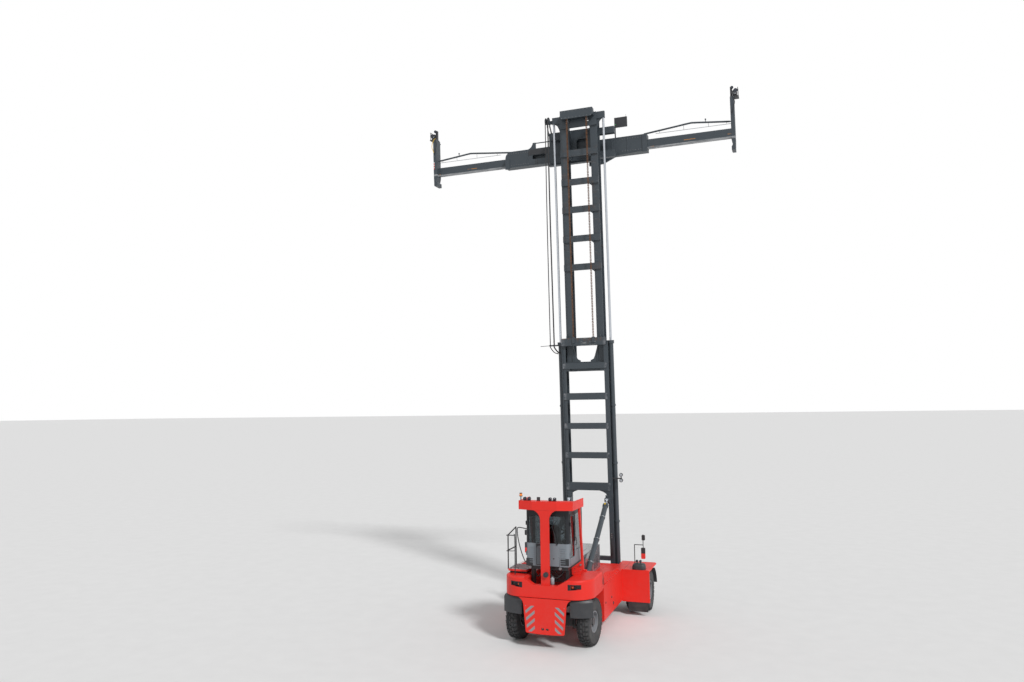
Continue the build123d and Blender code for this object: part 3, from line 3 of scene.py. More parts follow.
import bmesh
import bpy
from mathutils import Matrix, Vector


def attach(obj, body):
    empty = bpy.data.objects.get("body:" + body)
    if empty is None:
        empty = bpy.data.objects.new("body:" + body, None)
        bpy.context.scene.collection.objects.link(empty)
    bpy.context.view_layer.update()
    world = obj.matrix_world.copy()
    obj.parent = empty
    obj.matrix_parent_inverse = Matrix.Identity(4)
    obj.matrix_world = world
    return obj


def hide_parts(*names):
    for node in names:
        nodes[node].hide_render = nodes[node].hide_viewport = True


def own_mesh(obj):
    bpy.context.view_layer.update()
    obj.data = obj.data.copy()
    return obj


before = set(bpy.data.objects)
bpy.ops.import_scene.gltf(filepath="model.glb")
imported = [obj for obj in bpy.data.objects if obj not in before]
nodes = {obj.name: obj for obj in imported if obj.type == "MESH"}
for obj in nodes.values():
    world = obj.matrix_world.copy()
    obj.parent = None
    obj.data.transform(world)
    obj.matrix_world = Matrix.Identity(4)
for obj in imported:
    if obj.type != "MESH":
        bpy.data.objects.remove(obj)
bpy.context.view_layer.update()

# Camera: it stands behind the machine and to its right, a little above the roof guard,
# and looks slightly up, so that the whole raised mast is in the picture.
IMAGE_WIDTH = 1024
FOCAL_PIXELS = 757.4
SENSOR = 36.0
FARTHEST = 4000
CAMERA_PLACE = Vector((6.923, -27.234, 6.930))
CAMERA_TURN = math.radians(19.805)
CAMERA_PITCH = math.radians(5.367)
CAMERA_ROLL = math.radians(-0.653)
ahead = Vector((
    -math.sin(CAMERA_TURN) * math.cos(CAMERA_PITCH),
    math.cos(CAMERA_TURN) * math.cos(CAMERA_PITCH),
    math.sin(CAMERA_PITCH),
))
level = Vector((math.cos(CAMERA_TURN), math.sin(CAMERA_TURN), 0))
upright = level.cross(ahead)
camera_x = math.cos(CAMERA_ROLL) * level + math.sin(CAMERA_ROLL) * upright
camera_y = math.cos(CAMERA_ROLL) * upright - math.sin(CAMERA_ROLL) * level
lens = bpy.data.cameras.new("camera")
lens.sensor_width = SENSOR
lens.lens = FOCAL_PIXELS / IMAGE_WIDTH * SENSOR
lens.clip_end = FARTHEST
camera = bpy.data.objects.new("camera", lens)
facing = Matrix((camera_x, camera_y, -ahead)).transposed()
camera.matrix_world = Matrix.Translation(CAMERA_PLACE) @ facing.to_4x4()
bpy.context.scene.collection.objects.link(camera)
bpy.context.scene.camera = camera
bpy.context.scene.view_settings.view_transform = "Standard"


# Floor: a plain pale yard that runs out past the picture, one flat face with a faint cloudy tone. It
# only carries the machine's shadow.
def fill(tree, node, inputs):
    for key, value in inputs.items():
        if isinstance(value, bpy.types.NodeSocket):
            tree.links.new(value, node.inputs[key])
        else:
            node.inputs[key].default_value = value


def add(tree, kind, inputs=None, **settings):
    node = tree.nodes.new(kind)
    for key, value in settings.items():
        setattr(node, key, value)
    fill(tree, node, inputs or {})
    return node


def new_material(name):
    material = bpy.data.materials.new(name)
    material.use_nodes = True
    return material, material.node_tree, material.node_tree.nodes["Principled BSDF"]


def object_place(tree):
    return add(tree, "ShaderNodeTexCoord").outputs["Object"]


def noise(tree, place, scale, detail, roughness=0.5):
    inputs = {"Vector": place, "Scale": scale, "Detail": detail, "Roughness": roughness}
    return add(tree, "ShaderNodeTexNoise", inputs).outputs["Fac"]


def spread(tree, value, low, high, to_low=0.0, to_high=1.0):
    inputs = {"Value": value, "From Min": low, "From Max": high, "To Min": to_low, "To Max": to_high}
    return add(tree, "ShaderNodeMapRange", inputs).outputs["Result"]


def show(name, mesh):
    shown = bpy.data.objects.new(name, mesh)
    bpy.context.scene.collection.objects.link(shown)
    return shown


FLOOR_HALF = 1800.0
corners = [(x * FLOOR_HALF, y * FLOOR_HALF, 0) for x, y in [(-1, -1), (1, -1), (1, 1), (-1, 1)]]
floor_mesh = bpy.data.meshes.new("floor")
floor_mesh.from_pydata(corners, [], [(0, 1, 2, 3)])
floor_finish, tree, shader = new_material("pale floor")
tone = spread(tree, noise(tree, object_place(tree), 1.5, 6.0), 0, 1, 0.74, 0.80)
fill(tree, shader, {"Base Color": tone, "Roughness": 0.9})
floor_mesh.materials.append(floor_finish)
show("floor", floor_mesh)

# Light: a broad sun from behind the camera's right shoulder, and an even pale surround that shows
# stronger in glossy reflections.
SUN_FROM = Vector((0.62, -0.52, 0.72))
SUN_STRENGTH = 2.1
SUN_SOFTNESS = math.radians(9)
SURROUND = 0.5
MIRRORED = 0.72
sun = bpy.data.lights.new("sun", "SUN")
sun.energy = SUN_STRENGTH
sun.angle = SUN_SOFTNESS
show("sun", sun).rotation_euler = SUN_FROM.to_track_quat("Z", "Y").to_euler()
world = bpy.data.worlds.new("surround")
bpy.context.scene.world = world
world.use_nodes = True
sky = world.node_tree
ray = add(sky, "ShaderNodeLightPath").outputs
clear = {0: ray["Is Camera Ray"], 1: ray["Is Transmission Ray"]}
seen = add(sky, "ShaderNodeMath", clear, operation="MAXIMUM").outputs[0]
shine = {0: ray["Is Glossy Ray"], 1: MIRRORED - SURROUND, 2: SURROUND}
strength = add(sky, "ShaderNodeMath", shine, operation="MULTIPLY_ADD").outputs[0]
shine = {0: seen, 1: 1 - SURROUND, 2: strength}
strength = add(sky, "ShaderNodeMath", shine, operation="MULTIPLY_ADD").outputs[0]
fill(sky, sky.nodes["Background"], {"Strength": strength, "Color": (1, 1, 1, 1)})


# Red painted steel: counterweight, deck, tanks, fenders, rear plate and roof guard. Gloss paint that has
# dulled a little, with road dust low down and thin wear on its edges.
def mix(tree, share, first, second):
    inputs = {0: share, 6: first, 7: second}
    return add(tree, "ShaderNodeMix", inputs, data_type="RGBA").outputs[2]


def shade(colour, factor):
    return tuple(min(1.0, c * factor) for c in colour[:3]) + (1.0,)


def maths(tree, operation, first, second=0.0):
    return add(tree, "ShaderNodeMath", {0: first, 1: second}, operation=operation).outputs[0]


def times(tree, product, *others):
    for other in others:
        product = maths(tree, "MULTIPLY", product, other)
    return product


def axes(tree, place=None):
    if place is None:
        place = object_place(tree)
    return add(tree, "ShaderNodeSeparateXYZ", {0: place}).outputs


def edge_wear(tree, radius):
    rounded = add(tree, "ShaderNodeBevel", {"Radius": radius}, samples=4).outputs[0]
    plain = add(tree, "ShaderNodeNewGeometry").outputs["Normal"]
    agree = add(tree, "ShaderNodeVectorMath", {0: rounded, 1: plain}, operation="DOT_PRODUCT")
    return rounded, spread(tree, agree.outputs["Value"], 0.99, 0.86)


def set_bump(tree, shader, height, strength, distance, normal=None):
    inputs = {"Height": height, "Strength": strength, "Distance": distance}
    if normal is not None:
        inputs["Normal"] = normal
    fill(tree, shader, {"Normal": add(tree, "ShaderNodeBump", inputs).outputs[0]})


DUST = (0.26, 0.245, 0.225, 1)


def coated(name, colour, gloss, dust, wear, worn, extra=None, radius=0.008):
    # colour is a plain colour or a function that draws it in the tree; extra is further shader inputs
    material, tree, shader = new_material(name)
    place = object_place(tree)
    patches = noise(tree, place, 4.5, 8.0, 0.65)
    specks = noise(tree, place, 70.0, 4.0)
    if callable(colour):
        body = colour(tree)
    else:
        clouds = spread(tree, noise(tree, place, 0.8, 5.0, 0.6), 0.3, 0.7)
        body = mix(tree, clouds, shade(colour, 0.92), shade(colour, 1.06))
    low_down = spread(tree, axes(tree, place)["Z"], 0.2, 2.2, 1.0, 0.35)
    settled = times(tree, spread(tree, patches, 0.42, 0.72, 0, dust), low_down)
    rounded, edge = edge_wear(tree, radius)
    rub = times(tree, edge, spread(tree, specks, 0.45, 0.62, 0.0, wear))
    fill(tree, shader, {
        "Base Color": mix(tree, rub, mix(tree, settled, body, DUST), worn),
        "Roughness": spread(tree, patches, 0.3, 0.7, gloss, gloss + 0.14),
    })
    set_bump(tree, shader, specks, 0.06, 0.002, rounded)
    fill(tree, shader, extra or {})
    return material


def painted(mesh, material):
    mesh.materials.clear()
    mesh.materials.append(material)
    return mesh


def finish(material, *names):
    for name in names:
        painted(nodes[name].data, material)


RED = (0.78, 0.027, 0.018, 1)
WORN_RED = (0.50, 0.07, 0.05, 1)
SOFT_SHINE = {"Specular IOR Level": 0.3}
red_paint = coated("red paint", RED, 0.36, 0.07, 0.5, WORN_RED, SOFT_SHINE)
finish(red_paint, "deck", "side_tanks", "front_fenders", "rear_guard")

# Rear plate: the same red, with grey reflecting stripes that slope down and outwards on both sides. Its
# middle stays bare.
STRIPE_PITCH = 0.22
STRIPE_DEPTH = 0.092
STRIPE_SLOPE = 0.85
STRIPE_TOP = 1.60
STRIPE_Z = (0.5, 1.24)
STRIPE_Y = -5.44
STRIPE_IN_X = 0.31
STRIPE_OUT_X = 0.502
PLATE_FLARE = 0.085
STRIPE_GREY = (0.27, 0.28, 0.30, 1)


def less(tree, value, limit):
    return maths(tree, "LESS_THAN", value, limit)


def more(tree, value, limit):
    return maths(tree, "GREATER_THAN", value, limit)


def between(tree, value, low, high):
    return times(tree, more(tree, value, low), less(tree, value, high))


def striped_red(tree):
    parts = axes(tree)
    across = maths(tree, "ABSOLUTE", parts["X"])
    fall = maths(tree, "ADD", parts["Z"], times(tree, across, STRIPE_SLOPE))
    phase = maths(tree, "FLOORED_MODULO", maths(tree, "SUBTRACT", STRIPE_TOP, fall), STRIPE_PITCH)
    outer_edge = maths(tree, "ADD", times(tree, parts["Z"], PLATE_FLARE), STRIPE_OUT_X)
    inside = times(tree, more(tree, across, STRIPE_IN_X), less(tree, across, outer_edge))
    on_rear = times(tree, between(tree, parts["Z"], *STRIPE_Z), less(tree, parts["Y"], STRIPE_Y))
    return mix(tree, times(tree, less(tree, phase, STRIPE_DEPTH), inside, on_rear), RED, STRIPE_GREY)


finish(coated("rear plate paint", striped_red, 0.36, 0.09, 0.5, WORN_RED, SOFT_SHINE), "rear_plate")

# Counterweight: a heavy casting in the same red, with a black surround painted about each tail lamp's
# pocket. The surround's lower edge rises towards the outside.
POCKET_X = (0.70, 1.085)
POCKET_Z = (1.735, 1.905)
POCKET_RISE = 0.10
POCKET_Y = -5.1


def pocketed_red(tree):
    parts = axes(tree)
    across = maths(tree, "ABSOLUTE", parts["X"])
    rise = times(tree, maths(tree, "SUBTRACT", across, POCKET_X[0]), POCKET_RISE)
    low_edge = maths(tree, "ADD", rise, POCKET_Z[0])
    high = times(tree, more(tree, parts["Z"], low_edge), less(tree, parts["Z"], POCKET_Z[1]))
    pocket = times(tree, high, between(tree, across, *POCKET_X), less(tree, parts["Y"], POCKET_Y))
    return mix(tree, pocket, RED, (0.016, 0.016, 0.018, 1))


finish(coated("counterweight paint", pocketed_red, 0.36, 0.07, 0.5, WORN_RED, SOFT_SHINE), "counterweight")

# Dark grey painted steel: the mast header, the carriage, the spreader's box and the cylinders. Satin
# paint with pale scuffs on its edges. The masts and arms take the same coat over their own marks.
DARK_GREY = (0.047, 0.060, 0.072, 1)
# gloss, dust, wear, worn edge
GREY_COAT = (0.38, 0.10, 0.5, (0.16, 0.18, 0.20, 1))
grey_steel = coated("dark grey paint", DARK_GREY, *GREY_COAT)
finish(grey_steel, "mast_header", "carriage", "spreader_body", "lift_barrels", "hose_pulleys")
finish(grey_steel, "tilt_barrel_right", "tilt_barrel_left")

# Black painted steel: the frame, axles and knuckles below the deck, and the cab's mount. Duller and
# dustier than the red.
black_steel = coated("black paint", (0.020, 0.020, 0.023, 1), 0.42, 0.14, 0.4, (0.10, 0.10, 0.10, 1))
finish(black_steel, "chassis_frame", "drive_axle", "cab_mount")
finish(black_steel, "steer_axle", "knuckle_right", "knuckle_left")

# Cab shell: steel panels, pale grey below the windows and black above them and round the glass. The body
# and the doors share one paint, so the line at the sill runs on across them.
CAB_SILL = 3.0
CAB_GREY = (0.205, 0.235, 0.262, 1)
CAB_BLACK = (0.012, 0.014, 0.018, 1)
CAB_SHINE = {"Specular IOR Level": 0.35}


def cab_colour(tree):
    return mix(tree, more(tree, axes(tree)["Z"], CAB_SILL), CAB_GREY, CAB_BLACK)


cab_finish = coated("cab panels", cab_colour, 0.34, 0.05, 0.3, (0.2, 0.21, 0.22, 1), CAB_SHINE)
finish(cab_finish, "cab_body", "cab_door_right", "cab_door_left")

# Hood: smooth grey glass-fibre panels with a clear gloss that mirrors the sky. The lid has the same
# finish as the sides.
HOOD_GREY = (0.17, 0.185, 0.20, 1)
hood_finish = coated("hood panels", HOOD_GREY, 0.16, 0.10, 0.2, (0.3, 0.32, 0.34, 1), {"Coat Weight": 0.5})
finish(hood_finish, "hood", "hood_lid")

# Black plastic: mudguards, lamp housings and the controls in the cab. Fine moulded grain, dusty. Black
# rubber for the mud flaps and all hoses.
WORN_BLACK = (0.08, 0.08, 0.08, 1)
plastic = coated("black plastic", (0.036, 0.038, 0.043, 1), 0.40, 0.07, 0.15, WORN_BLACK)
finish(plastic, "rear_mudguards", "front_mudguards", "guard_lamps", "mast_fittings", "tail_lamps")
finish(plastic, "arm_lamps_right", "arm_lamps_left", "spreader_board", "cab_controls")
rubber = coated("black rubber", (0.026, 0.026, 0.028, 1), 0.65, 0.16, 0.1, WORN_BLACK)
finish(rubber, "mud_flaps", "lift_hoses")


# Bright and bare metal: chromed rods with fine drawn scratches that run up and down, and the bare steel
# of the sheaves, the engine and the gearbox.
def stretched(tree, place, scale):
    return add(tree, "ShaderNodeMapping", {"Vector": place, "Scale": scale}).outputs[0]


chrome, tree, shader = new_material("chrome")
place = object_place(tree)
film = noise(tree, place, 6.0, 6.0)
fill(tree, shader, {
    "Base Color": mix(tree, film, (0.62, 0.66, 0.72, 1), (0.78, 0.81, 0.86, 1)),
    "Roughness": spread(tree, film, 0.3, 0.7, 0.10, 0.2),
    "Metallic": 1.0,
})
set_bump(tree, shader, noise(tree, stretched(tree, place, (90.0, 90.0, 1.5)), 1.0, 4.0), 0.05, 0.001)
finish(chrome, "lift_rods", "tilt_rod_right", "tilt_rod_left")
BARE_GREY = (0.26, 0.26, 0.27, 1)
bare_steel = coated("bare steel", BARE_GREY, 0.4, 0.3, 0.4, (0.45, 0.45, 0.46, 1), {"Metallic": 0.85})
finish(bare_steel, "chain_sheaves", "engine_block", "gearbox")

# Glass: thin tinted panes in the cab and its doors, with a faint film of dirt that dulls them here and
# there.
glass, tree, shader = new_material("tinted glass")
haze = noise(tree, object_place(tree), 3.0, 6.0)
dirt = spread(tree, haze, 0.5, 0.75, 0.0, 0.5)
fill(tree, shader, {
    "Base Color": mix(tree, dirt, (0.25, 0.29, 0.31, 1), (0.20, 0.22, 0.22, 1)),
    "Roughness": spread(tree, haze, 0.3, 0.7, 0.02, 0.07),
    "Transmission Weight": 1.0,
    "IOR": 1.45,
})
set_bump(tree, shader, haze, 0.02, 0.002)
finish(glass, "cab_glass", "door_glass_right", "door_glass_left")

# Tyres: a carcass turned from its section, and tread blocks repeated round it in two middle and two
# shoulder rows. Each side's twins are one piece, and the steered tyres are turned about their kingpins.
SIDES = [(1, "right"), (-1, "left")]
ORIGIN = (0, 0, 0)
flip = Matrix.Scale(-1, 4, (1, 0, 0))


def at(x, y, z):
    return Matrix.Translation((x, y, z))


def on_side(side, matrix):
    return matrix if side > 0 else flip @ matrix


def fresh(build):
    mesh = bpy.data.meshes.new("form")
    form = bmesh.new()
    build(form)
    bmesh.ops.recalc_face_normals(form, faces=form.faces)
    form.to_mesh(mesh)
    form.free()
    return mesh


def smoothed(mesh, angle):
    mesh.shade_smooth()
    mesh.set_sharp_from_angle(angle=math.radians(angle))
    return mesh


def circle(count):
    return [(math.cos(a), math.sin(a)) for a in [2 * math.pi * k / count for k in range(count)]]


def bridge(form, first, second):
    # faces between two rings; a ring of one point is a pole
    for k in range(max(len(first), len(second))):
        n = (k + 1) % max(len(first), len(second))
        if len(first) == 1:
            form.faces.new((first[0], second[n], second[k]))
        elif len(second) == 1:
            form.faces.new((first[k], first[n], second[0]))
        else:
            form.faces.new((first[k], first[n], second[n], second[k]))


def turned(profile, steps, material, closed=False):
    # columns of the profile: place along the X axis, radius
    def build(form):
        rings = []
        for along, radius in profile:
            spots = circle(steps) if radius else [(1, 0)]
            rings.append([form.verts.new((along, -radius * s, radius * c)) for c, s in spots])
        for first, second in zip(rings, rings[1:]):
            bridge(form, first, second)
        if closed:
            bridge(form, rings[-1], rings[0])
    return painted(smoothed(fresh(build), 38), material)


def moved(mesh, matrix):
    copy = mesh.copy()
    copy.transform(matrix)
    if matrix.determinant() < 0:
        copy.flip_normals()
    return copy


def joined(meshes):
    result = bpy.data.meshes.new("form")
    form = bmesh.new()
    slots = []
    for mesh in meshes:
        before = len(form.faces)
        form.from_mesh(mesh)
        form.faces.ensure_lookup_table()
        for material in mesh.materials:
            if material not in slots:
                slots.append(material)
        for face in form.faces[before:]:
            face.material_index = slots.index(mesh.materials[face.material_index])
    form.to_mesh(result)
    form.free()
    for material in slots:
        result.materials.append(material)
    return result


def piece(name, mesh, body, slot, *replaced):
    mesh.name = name
    result = show(name, mesh)
    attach(result, body)
    if replaced:
        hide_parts(*replaced)
    return result


def group(name, forms, body, slot, *replaced):
    return piece(name, joined(forms), body, slot, *replaced)


def applied(holder):
    # the object's mesh with its modifiers applied; the object itself goes
    graph = bpy.context.evaluated_depsgraph_get()
    mesh = bpy.data.meshes.new_from_object(holder.evaluated_get(graph), depsgraph=graph)
    bpy.data.objects.remove(holder)
    return mesh


repeat = bpy.data.node_groups.new("repeat on a line or round an axle", "GeometryNodeTree")
sockets = {"Geometry": "Geometry", "Count": "Int", "Start": "Vector", "Step": "Vector", "Turn": "Vector",
           "Material": "Material"}
socket_ids = {}
for key, kind in sockets.items():
    socket = repeat.interface.new_socket(key, in_out="INPUT", socket_type="NodeSocket" + kind)
    socket_ids[key] = socket.identifier
repeat.interface.new_socket("Geometry", in_out="OUTPUT", socket_type="NodeSocketGeometry")
given = repeat.nodes.new("NodeGroupInput").outputs
line = {"Count": given["Count"], "Start Location": given["Start"], "Offset": given["Step"]}
places = add(repeat, "GeometryNodeMeshLine", line).outputs[0]
index = add(repeat, "GeometryNodeInputIndex").outputs[0]
turns = add(repeat, "ShaderNodeVectorMath", {0: given["Turn"], "Scale": index}, operation="SCALE").outputs[0]
rotation = add(repeat, "FunctionNodeEulerToRotation", {0: turns}).outputs[0]
spots = {"Points": places, "Instance": given["Geometry"], "Rotation": rotation}
copies = add(repeat, "GeometryNodeInstanceOnPoints", spots).outputs[0]
solid = add(repeat, "GeometryNodeRealizeInstances", {0: copies}).outputs[0]
coating = {"Geometry": solid, "Material": given["Material"]}
add(repeat, "NodeGroupOutput", {0: add(repeat, "GeometryNodeSetMaterial", coating).outputs[0]})


def repeated(unit, count, start=ORIGIN, step=ORIGIN, turn=ORIGIN):
    holder = show("repeat", unit)
    modifier = holder.modifiers.new("repeat", "NODES")
    modifier.node_group = repeat
    values = {"Count": count, "Start": start, "Step": step, "Turn": turn, "Material": unit.materials[0]}
    for key, value in values.items():
        modifier[socket_ids[key]] = value
    return applied(holder)


TYRE_BLACK = (0.034, 0.035, 0.038, 1)
tyre_rubber = coated("tyre rubber", TYRE_BLACK, 0.62, 0.22, 0.35, (0.10, 0.10, 0.10, 1), radius=0.004)
BLOCK_LOW_R = 0.650
TREAD_PITCHES = 30
PITCH_ANGLE = 2 * math.pi / TREAD_PITCHES
# section of one half, columns: place along the axle, radius
half_section = [
    (0.132, 0.305), (0.150, 0.322), (0.165, 0.345), (0.172, 0.352), (0.178, 0.385), (0.1865, 0.45),
    (0.1835, 0.462), (0.1872, 0.474), (0.1872, 0.53), (0.183, 0.585), (0.176, 0.622), (0.162, 0.645),
    (0.10, 0.652), (0.03, 0.654),
]
section = half_section + [(-x, r) for x, r in reversed(half_section)]
carcass = turned(section, 96, tyre_rubber, closed=True)
# a middle and a shoulder block, columns of a corner: along the axle, round the tread in pitches, radius
HALF_BLOCKS = [
    [(0.006, -0.30, 0.685), (0.070, -0.44, 0.685), (0.076, 0.20, 0.685), (0.012, 0.40, 0.685)],
    [(0.090, -0.32, 0.684), (0.176, -0.38, 0.674), (0.1865, -0.36, 0.618), (0.1865, 0.22, 0.618),
     (0.176, 0.26, 0.674), (0.094, 0.34, 0.684)],
]


def tread_block(form, corners):
    middle_x = sum(x for x, along, radius in corners) / len(corners)
    middle = sum(along for x, along, radius in corners) / len(corners)
    rings = []
    # columns: share of the plan kept, depth below the top
    for share, depth in [(1.0, None), (0.99, 0.007), (0.93, 0.0)]:
        ring = []
        for x, along, radius in corners:
            out = min(BLOCK_LOW_R, radius - 0.02) if depth is None else radius - depth
            angle = (middle + (along - middle) * share) * PITCH_ANGLE
            place = (middle_x + (x - middle_x) * share, -out * math.sin(angle), out * math.cos(angle))
            ring.append(form.verts.new(place))
        rings.append(ring)
    for first, second in zip(rings, rings[1:]):
        bridge(form, first, second)
    form.faces.new(rings[0])
    form.faces.new(rings[-1])


def tread_blocks(form):
    for corners in HALF_BLOCKS:
        tread_block(form, corners)
        tread_block(form, [(-x, along + 0.5, radius) for x, along, radius in corners])


blocks = painted(fresh(tread_blocks), tyre_rubber)
tyre = joined([carcass, repeated(blocks, TREAD_PITCHES, turn=(PITCH_ANGLE, 0, 0))])
OUTER_TYRE_X = 2.0125
INNER_TYRE_X = 1.5825
AXLE_Z = 0.685
KINGPIN_X = 0.8
STEER_TYRE_X = 1.117
STEER_Y = -4.5
STEER_TURN = math.radians(-5)


def steered(side):
    kingpin = at(side * KINGPIN_X, STEER_Y, AXLE_Z) @ Matrix.Rotation(STEER_TURN, 4, "Z")
    return kingpin @ on_side(side, at(STEER_TYRE_X - KINGPIN_X, 0, 0))


for side, label in SIDES:
    twins = []
    for x, turn in [(OUTER_TYRE_X, 0.02), (INNER_TYRE_X, 0.11)]:
        twins.append(moved(tyre, on_side(side, at(x, 0, AXLE_Z) @ Matrix.Rotation(turn, 4, "X"))))
    group("tyres_" + label, twins, "drive_wheels_" + label, "tyre", "drive_tyres_" + label)
    single = moved(tyre, steered(side))
    piece("rear_tyre_" + label, single, "steer_wheel_" + label, "tyre", "steer_tyre_" + label)

# Rims: steel in silver paint with a dark hub, dusty in the dish. The wheel nuts on their studs and the
# hub's bolts are repeated round the axle.
HUB_R = 0.17


def rim_colour(centre_y):
    def colour(tree):
        parts = axes(tree)
        up = maths(tree, "SUBTRACT", parts["Z"], AXLE_Z)
        along = maths(tree, "SUBTRACT", parts["Y"], centre_y)
        square = maths(tree, "ADD", times(tree, up, up), times(tree, along, along))
        return mix(tree, less(tree, square, HUB_R ** 2), (0.25, 0.26, 0.28, 1), (0.04, 0.042, 0.047, 1))
    return colour


for kind, rims, centre_y in [("drive", "drive_rims_", 0.0), ("steer", "steer_rim_", STEER_Y)]:
    rim_paint = coated(kind + " rim paint", rim_colour(centre_y), 0.36, 0.25, 0.5, (0.2, 0.19, 0.18, 1))
    finish(rim_paint, rims + "right", rims + "left")


def button(start, radius, shoulder, end, top_radius):
    # profile of a low cylinder with a bevelled rim
    return [(start, 0), (start, radius), (shoulder, radius), (end, top_radius), (end, 0)]


washer = turned(button(-0.004, 0.024, 0.006, 0.008, 0.021), 16, bare_steel)
nut = turned(button(0.007, 0.0185, 0.026, 0.030, 0.0155), 6, bare_steel)
stud = turned(button(0.02, 0.0105, 0.042, 0.046, 0.0075), 10, bare_steel)
nut_set = joined([washer, nut, stud])
bolt_head = turned(button(-0.003, 0.0135, 0.009, 0.011, 0.011), 6, bare_steel)


def bolt_circle(unit, x, radius, count):
    return repeated(moved(unit, at(0, 0, radius)), count, (x, 0, 0), turn=(2 * math.pi / count, 0, 0))


# rings, columns: unit, place along the axle, radius, count
DRIVE_RINGS = [(nut_set, 1.8195, 0.243, 10), (bolt_head, 2.0325, 0.143, 12)]
STEER_RINGS = [(nut_set, 0.0465, 0.218, 10), (bolt_head, 0.0825, 0.131, 10)]
for side, label in SIDES:
    wheel = on_side(side, at(0, 0, AXLE_Z))
    rings = [moved(bolt_circle(*ring), wheel) for ring in DRIVE_RINGS]
    group("wheel_nuts_" + label, rings, "drive_wheels_" + label, "bare_steel")
    rings = [moved(bolt_circle(*ring), steered(side)) for ring in STEER_RINGS]
    group("rear_nuts_" + label, rings, "steer_wheel_" + label, "bare_steel")

# Leaf chains: pairs of leaf rows and pins repeated up the mast's back, from the head beam's lugs to the
# sheaves, and round the sheaves. Rusty and dry, with a little shine on the leaves' edges.
LEAN = math.radians(2.774)
MAST_LEAN = at(0, 0, 1) @ Matrix.Rotation(LEAN, 4, "X") @ at(0, 0, -1)
rust, tree, shader = new_material("rusty chain")
place = object_place(tree)
fine = noise(tree, place, 160.0, 4.0)
blotch = spread(tree, noise(tree, place, 9.0, 8.0, 0.7), 0.35, 0.65)
rounded, edge = edge_wear(tree, 0.002)
tone = mix(tree, blotch, (0.10, 0.045, 0.022, 1), (0.23, 0.105, 0.048, 1))
fill(tree, shader, {
    "Base Color": mix(tree, times(tree, edge, 0.5), tone, (0.33, 0.25, 0.20, 1)),
    "Roughness": spread(tree, fine, 0.3, 0.7, 0.6, 0.85),
    "Metallic": 0.4,
})
set_bump(tree, shader, fine, 0.3, 0.002, rounded)
LINK = 0.0606
LEAF_HALF = 0.0098
LEAF_THICK = 0.007
# one edge of a leaf, columns: place across in halves, share of the length, addition to the height
LEAF_EDGE = [
    (0.6, 0, -0.010), (1.0, 0, -0.003), (1.0, 0, 0.008), (0.72, 0.5, 0), (1.0, 1, -0.008),
    (1.0, 1, 0.003), (0.6, 1, 0.010),
]
CHAIN_X = 0.375
CHAIN_Y = 0.1497
CHAIN_LOW_Z = 9.665
CHAIN_LINKS = 68
SHEAVE_Y = 0.310
SHEAVE_Z = 17.9
ARC_R = 0.1612
ARC_LINKS = 5


def on_mast(mesh):
    return moved(mesh, MAST_LEAN)


def mast_group(name, forms, body, slot, *replaced):
    return group(name, [on_mast(form) for form in forms], body, slot, *replaced)


def leaf(form, x, low):
    right = [(y * LEAF_HALF, low + share * LINK + up) for y, share, up in LEAF_EDGE]
    outline = right + [(-y, z) for y, z in reversed(right)]
    near = [form.verts.new((x - LEAF_THICK / 2, y, z)) for y, z in outline]
    far = [form.verts.new((x + LEAF_THICK / 2, y, z)) for y, z in outline]
    form.faces.new(near)
    form.faces.new(far)
    bridge(form, near, far)


def link_pair(form):
    for x in (-0.0265, -0.0088, 0.0088, 0.0265):
        leaf(form, x, 0)
    for x in (-0.0177, 0, 0.0177):
        leaf(form, x, LINK)


pin = [(-0.031, 0), (-0.031, 0.006), (-0.029, 0.0072), (0.029, 0.0072), (0.031, 0.006), (0.031, 0)]
pin = turned(pin, 10, rust)
links = joined([painted(fresh(link_pair), rust)] + [moved(pin, at(0, 0, z)) for z in (0, LINK)])
arc_turn = -2 * LINK / ARC_R
arc_pair = moved(links, at(0, -ARC_R, 0) @ at(0, 0, -LINK))
over_sheave = at(0, SHEAVE_Y, SHEAVE_Z) @ Matrix.Rotation(arc_turn * 0.35, 4, "X")
strands = []
over = []
for x in (-CHAIN_X, CHAIN_X):
    strands.append(repeated(links, CHAIN_LINKS, (x, CHAIN_Y, CHAIN_LOW_Z), (0, 0, 2 * LINK)))
    over.append(moved(repeated(arc_pair, ARC_LINKS, (x, 0, 0), turn=(arc_turn, 0, 0)), over_sheave))
chains = mast_group("leaf_chains", strands, "inner_mast", "rusty_chain", "lift_chains")
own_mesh(chains)
mast_group("chains_over_sheaves", over, "inner_mast", "rusty_chain")


# Hoses: two from the clamps on the outer mast up to the pulleys, and on over them. The runs and the tops
# over the pulleys ride with the inner mast, and the tails at the clamps ride with the outer mast.
def tube(points, radius, sides, material):
    points = [Vector(p) for p in points]

    def build(form):
        rings = []
        side_way = (points[1] - points[0]).orthogonal()
        for k, point in enumerate(points):
            way = (points[min(k + 1, len(points) - 1)] - points[max(k - 1, 0)]).normalized()
            side_way = (side_way - way * side_way.dot(way)).normalized()
            third = way.cross(side_way)
            spots = [point + radius * (c * side_way + s * third) for c, s in circle(sides)]
            rings.append([form.verts.new(spot) for spot in spots])
        for first, second in zip(rings, rings[1:]):
            bridge(form, first, second)
        form.faces.new(rings[0])
        form.faces.new(rings[-1])
    return painted(smoothed(fresh(build), 50), material)


def eased(points, steps=8):
    # a smooth line through the points
    points = [Vector(p) for p in points]
    padded = [points[0] * 2 - points[1]] + points + [points[-1] * 2 - points[-2]]
    line = []
    for a, b, c, d in zip(padded, padded[1:], padded[2:], padded[3:]):
        for k in range(steps):
            t = k / steps
            square = (2 * a - 5 * b + 4 * c - d) * t ** 2
            cube = (3 * b - a - 3 * c + d) * t ** 3
            line.append(0.5 * (2 * b + (c - a) * t + square + cube))
    line.append(points[-1])
    return line


